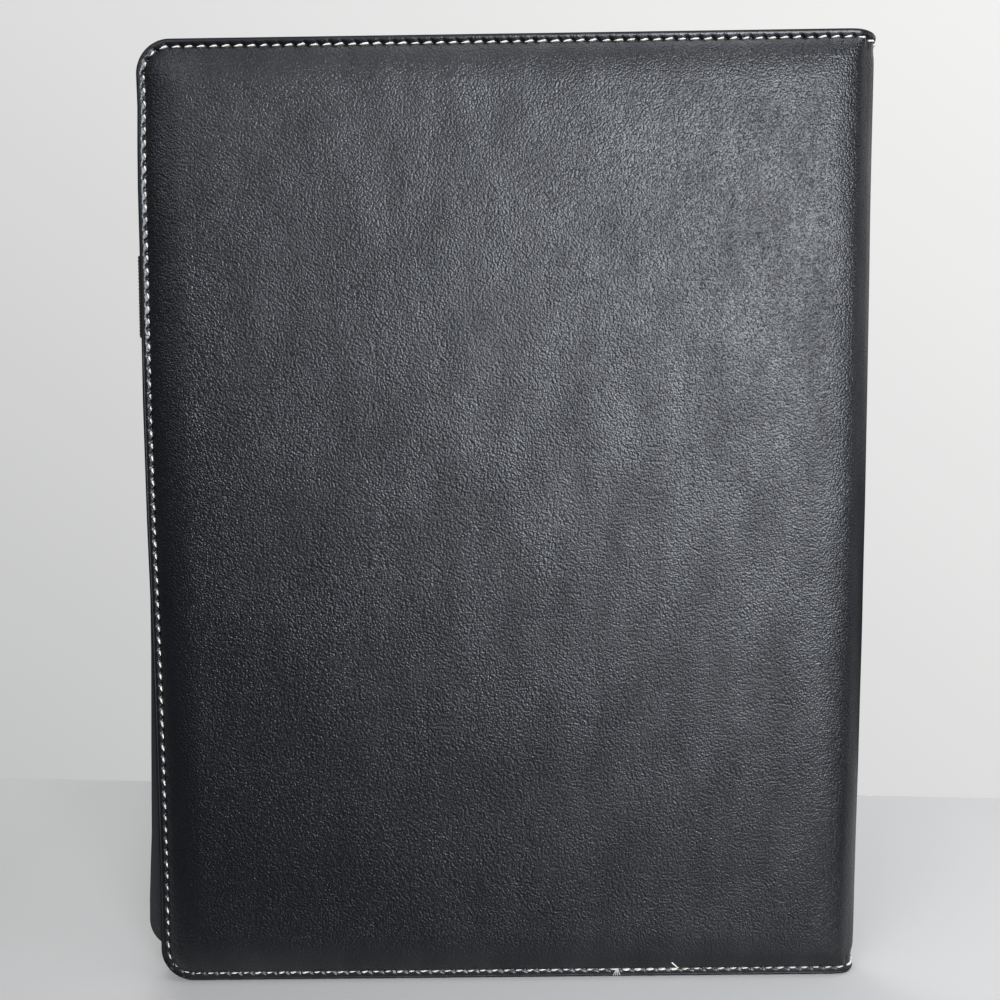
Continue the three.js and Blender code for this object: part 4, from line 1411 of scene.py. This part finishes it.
# The clear pocket and its bound mouth.
x0, x1, y0, y1, z0, z1 = node_box("id_pocket_film")
FILM = 0.3


def film_under(x, z, edge):
    """The face against the lining, slightly wavy inside its sewn edges."""
    return y1 + 0.05 * waves(x, z, 18.0, 4.4) * ease(edge / 6)


def film_face(x, z, edge):
    """The outer face, one film above."""
    return y1 - FILM + 0.05 * waves(x, z, 18.0, 4.4) * ease(edge / 6)


radii = (2.5, 2.5, 0.5, 0.5)
film = leaf("clear_window", (x0, x1, z0, z1), radii, film_under, film_face, CLEAR_VINYL)
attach(film, "front_cover")
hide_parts("id_pocket_film")
seams = [
    ((x0 + 1.3, y0, z1 - 6), (x0 + 1.3, y0, z0 + 2), (0, -1, 0)),
    ((x0 + 2, y0, z0 + 1.3), (x1 - 2, y0, z0 + 1.3), (0, -1, 0)),
    ((x1 - 1.3, y0, z0 + 2), (x1 - 1.3, y0, z1 - 6), (0, -1, 0)),
]
sewn("clear_window_stitching", "front_cover", seams, slot="clear_film")
sizes = node_box("id_pocket_binding")
binding = folded_strip("clear_window_edge", sizes, 0.35, LEATHERETTE, corner=0.5)
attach(binding, "front_cover")
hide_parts("id_pocket_binding")
mouth = sizes[4] + 1.3
sewn(
    "clear_edge_stitching",
    "front_cover",
    [((sizes[0] + 1, sizes[2], mouth), (sizes[1] - 1, sizes[2], mouth), (0, -1, 0))],
    slot="leather",
)


# ---- Elastic pen loop ----

def elastic_loop():
    """A flat loop of ribbed elastic, sewn in beside the free edge."""
    x0, x1, y0, y1, z0, z1 = node_box("pen_loop")
    band, rib, radius = 0.8, 1.15, (y1 - y0) / 2 - 0.15
    straight = (x1 - x0) / 2 - radius
    middle = ((x0 + x1) / 2, (y0 + y1) / 2)
    turns = np.linspace(0, 2 * math.pi, 57)[:-1] - math.pi / 2
    z = np.arange(z0, z1 + 0.01, rib / 6)
    z = z * (z1 - z0) / (z[-1] - z0) + z0 * (1 - (z1 - z0) / (z[-1] - z0))
    rng = np.random.default_rng(31)
    points, flat = [], []
    for inner in (0.0, band):
        for height_now in z:
            ribbed = 0.07 * np.cos(2 * math.pi * (height_now - z0) / rib)
            edge = min(height_now - z0, z1 - height_now)
            worn = 0.25 * max(0.0, 1 - edge / 0.5) ** 2
            grow = ribbed - worn - 0.07 if inner == 0 else worn - ribbed * 0.5
            r = radius + (grow - inner) + rng.normal(0, 0.006)
            x = middle[0] + np.sign(np.cos(turns)) * straight + r * np.cos(turns)
            y = middle[1] + r * np.sin(turns)
            points.append(np.stack([x, y, np.full(len(turns), height_now)], -1))
            flat.append(np.stack([turns * radius, np.full(len(turns), height_now)], -1))
    rows, columns = len(z), len(turns)
    faces = []
    count = rows * columns
    for r in range(rows - 1):
        for c in range(columns):
            a, b = r * columns + c, r * columns + (c + 1) % columns
            faces.append((a, b, b + columns, a + columns))
            faces.append((count + a, count + a + columns, count + b + columns, count + b))
    for row in (0, rows - 1):
        for c in range(columns):
            a, b = row * columns + c, row * columns + (c + 1) % columns
            face = (a, count + a, count + b, b)
            faces.append(face if row == 0 else face[::-1])
    points = bow(np.concatenate(points))
    return mesh_object("elastic_loop", points, faces, ELASTIC, flat=np.concatenate(flat), sharp=60)


loop = elastic_loop()
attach(loop, "back_cover")
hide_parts("pen_loop")


# ---- Stage: pale table, pale wall beyond it, soft studio light ----

def shelf(name, x0, x1, front, back, drop, material):
    """A pale shelf top. Its back edge, along the wall, runs askew from back[0] to back[1]."""
    mesh = bpy.data.meshes.new(name)
    corners = [(x0, front, 0), (x1, front, 0), (x1, back[1], 0), (x0, back[0], 0)]
    corners += [(x0, front, -drop), (x1, front, -drop)]
    mesh.from_pydata(corners, [], [(0, 1, 2, 3), (4, 5, 1, 0)])
    mesh.materials.append(material)
    made = bpy.data.objects.new(name, mesh)
    bpy.context.scene.collection.objects.link(made)


shelf("shelf", -1.5, 1.5, -0.027, (0.31, 0.047), 0.02, lacquered_board())

ROOM = 0.4  # the room's light on the object
DARK_SIDE = 0.1  # what the gloss sees of the room before the padfolio
world = bpy.data.worlds.new("room")
bpy.context.scene.world = world
world.use_nodes = True
world.node_tree.nodes.clear()
air = world.node_tree
path = node(air, "LightPath").outputs
aim = node(air, "SeparateXYZ", {0: node(air, "TexCoord").outputs["Generated"]}).outputs
# The wall is behind the padfolio and above the shelf, so gloss sees it only there.
beyond = node(air, "MapRange", {"Value": aim["Y"], "From Min": -0.1, "From Max": 0.4})
above = node(air, "MapRange", {"Value": aim["Z"], "From Min": -0.05, "From Max": 0.12})
lit = node(air, "Math", {0: above.outputs[0], 1: beyond.outputs[0]}, operation="MULTIPLY")
gloss = node(air, "Math", {0: path["Is Glossy Ray"], 1: lit.outputs[0]}, operation="MULTIPLY")
straight = {0: path["Is Camera Ray"], 1: path["Is Transmission Ray"]}
direct = node(air, "Math", straight, operation="MAXIMUM")
seen = node(air, "Math", {0: direct.outputs[0], 1: gloss.outputs[0]}, operation="MAXIMUM")
# It is lightest up on the right, where the window is.
side = node(air, "Math", {0: aim["X"], 1: 0.55, 2: 0.5}, operation="MULTIPLY_ADD")
shade = node(air, "Math", {0: aim["Z"], 1: 0.65, 2: side.outputs[0]}, operation="MULTIPLY_ADD")
paint = node(
    air,
    "Mix",
    {"Factor": shade.outputs[0], "A": linear("#bebfbf"), "B": linear("#f6f6f5")},
    data_type="RGBA",
)
dim = node(air, "Background", {"Color": linear("#d9dade"), "Strength": DARK_SIDE})
room = node(air, "Background", {"Color": linear("#d9dade"), "Strength": ROOM})
wall = node(air, "Background", {"Color": paint.outputs["Result"], "Strength": 1.0})
fill = node(air, "MixShader", {0: path["Is Glossy Ray"], 1: room.outputs[0], 2: dim.outputs[0]})
both = node(air, "MixShader", {0: seen.outputs[0], 1: fill.outputs[0], 2: wall.outputs[0]})
node(air, "OutputWorld", {"Surface": both.outputs[0]})


def softbox(name, place, aim, size, watts, colour, spread=180):
    """A rectangular lamp of size (width, height) at place, turned to aim."""
    light = bpy.data.lights.new(name, "AREA")
    light.shape = "RECTANGLE"
    light.size, light.size_y = size
    light.energy = watts
    light.spread = math.radians(spread)
    light.color = linear(colour)[:3]
    made = bpy.data.objects.new(name, light)
    made.location = place
    made.rotation_euler = (Vector(aim) - Vector(place)).to_track_quat("-Z", "Y").to_euler()
    bpy.context.scene.collection.objects.link(made)


DAYLIGHT = "#f3f7ff"
# The window gives the cover its soft gloss right of the middle, and the lit ground below it the
# gloss at the lower right.
softbox("window", (0.55, -1.54, 0.49), (0.0, 0.0, 0.16), (0.8, 0.8), 7.8, DAYLIGHT, 70)
softbox("lit_ground", (0.72, -1.45, -0.66), (0.08, 0.0, 0.06), (0.7, 0.55), 0.75, DAYLIGHT, 70)
softbox("sky", (-0.8, -1.2, 1.1), (0.0, 0.0, 0.2), (0.8, 0.6), 1.2, DAYLIGHT, 70)
softbox("side", (1.5, -0.35, 0.25), (0.1, 0.0, 0.16), (0.8, 0.8), 0.5, DAYLIGHT, 70)
softbox("ceiling", (0.15, -0.2, 1.0), (0.05, 0.0, 0.1), (0.8, 0.5), 4.0, "#f6f9ff")
softbox("fill", (-0.7, 1.5, 1.0), (0.0, 0.0, 0.15), (1.2, 1.2), 12.0, "#ffffff")

# The camera, solved from the back cover's edges: 1050 pixels of focal length to 1000 of width.
SENSOR = 36.0
CAMERA_PLACE = (0.0014, -0.3573, 0.194)
CAMERA_TURN = (-0.33, 4.54, -0.75)  # degrees to the right, down, and rolled
camera = bpy.data.cameras.new("camera")
camera.sensor_width = SENSOR
camera.lens = SENSOR * 1050.0 / 1000.0
camera_object = bpy.data.objects.new("camera", camera)
bpy.context.scene.collection.objects.link(camera_object)
bpy.context.scene.camera = camera_object
yaw, pitch, roll = (math.radians(a) for a in CAMERA_TURN)
level = math.cos(pitch)
forward = Vector((math.sin(yaw) * level, math.cos(yaw) * level, -math.sin(pitch)))
right = Vector((math.cos(yaw), -math.sin(yaw), 0.0))
upward = right.cross(forward)
turned_right = right * math.cos(roll) + upward * math.sin(roll)
turned_up = upward * math.cos(roll) - right * math.sin(roll)
axes = Matrix((turned_right, turned_up, -forward)).transposed()
camera_object.matrix_world = Matrix.Translation(CAMERA_PLACE) @ axes.to_4x4()
bpy.context.scene.view_settings.view_transform = "Standard"
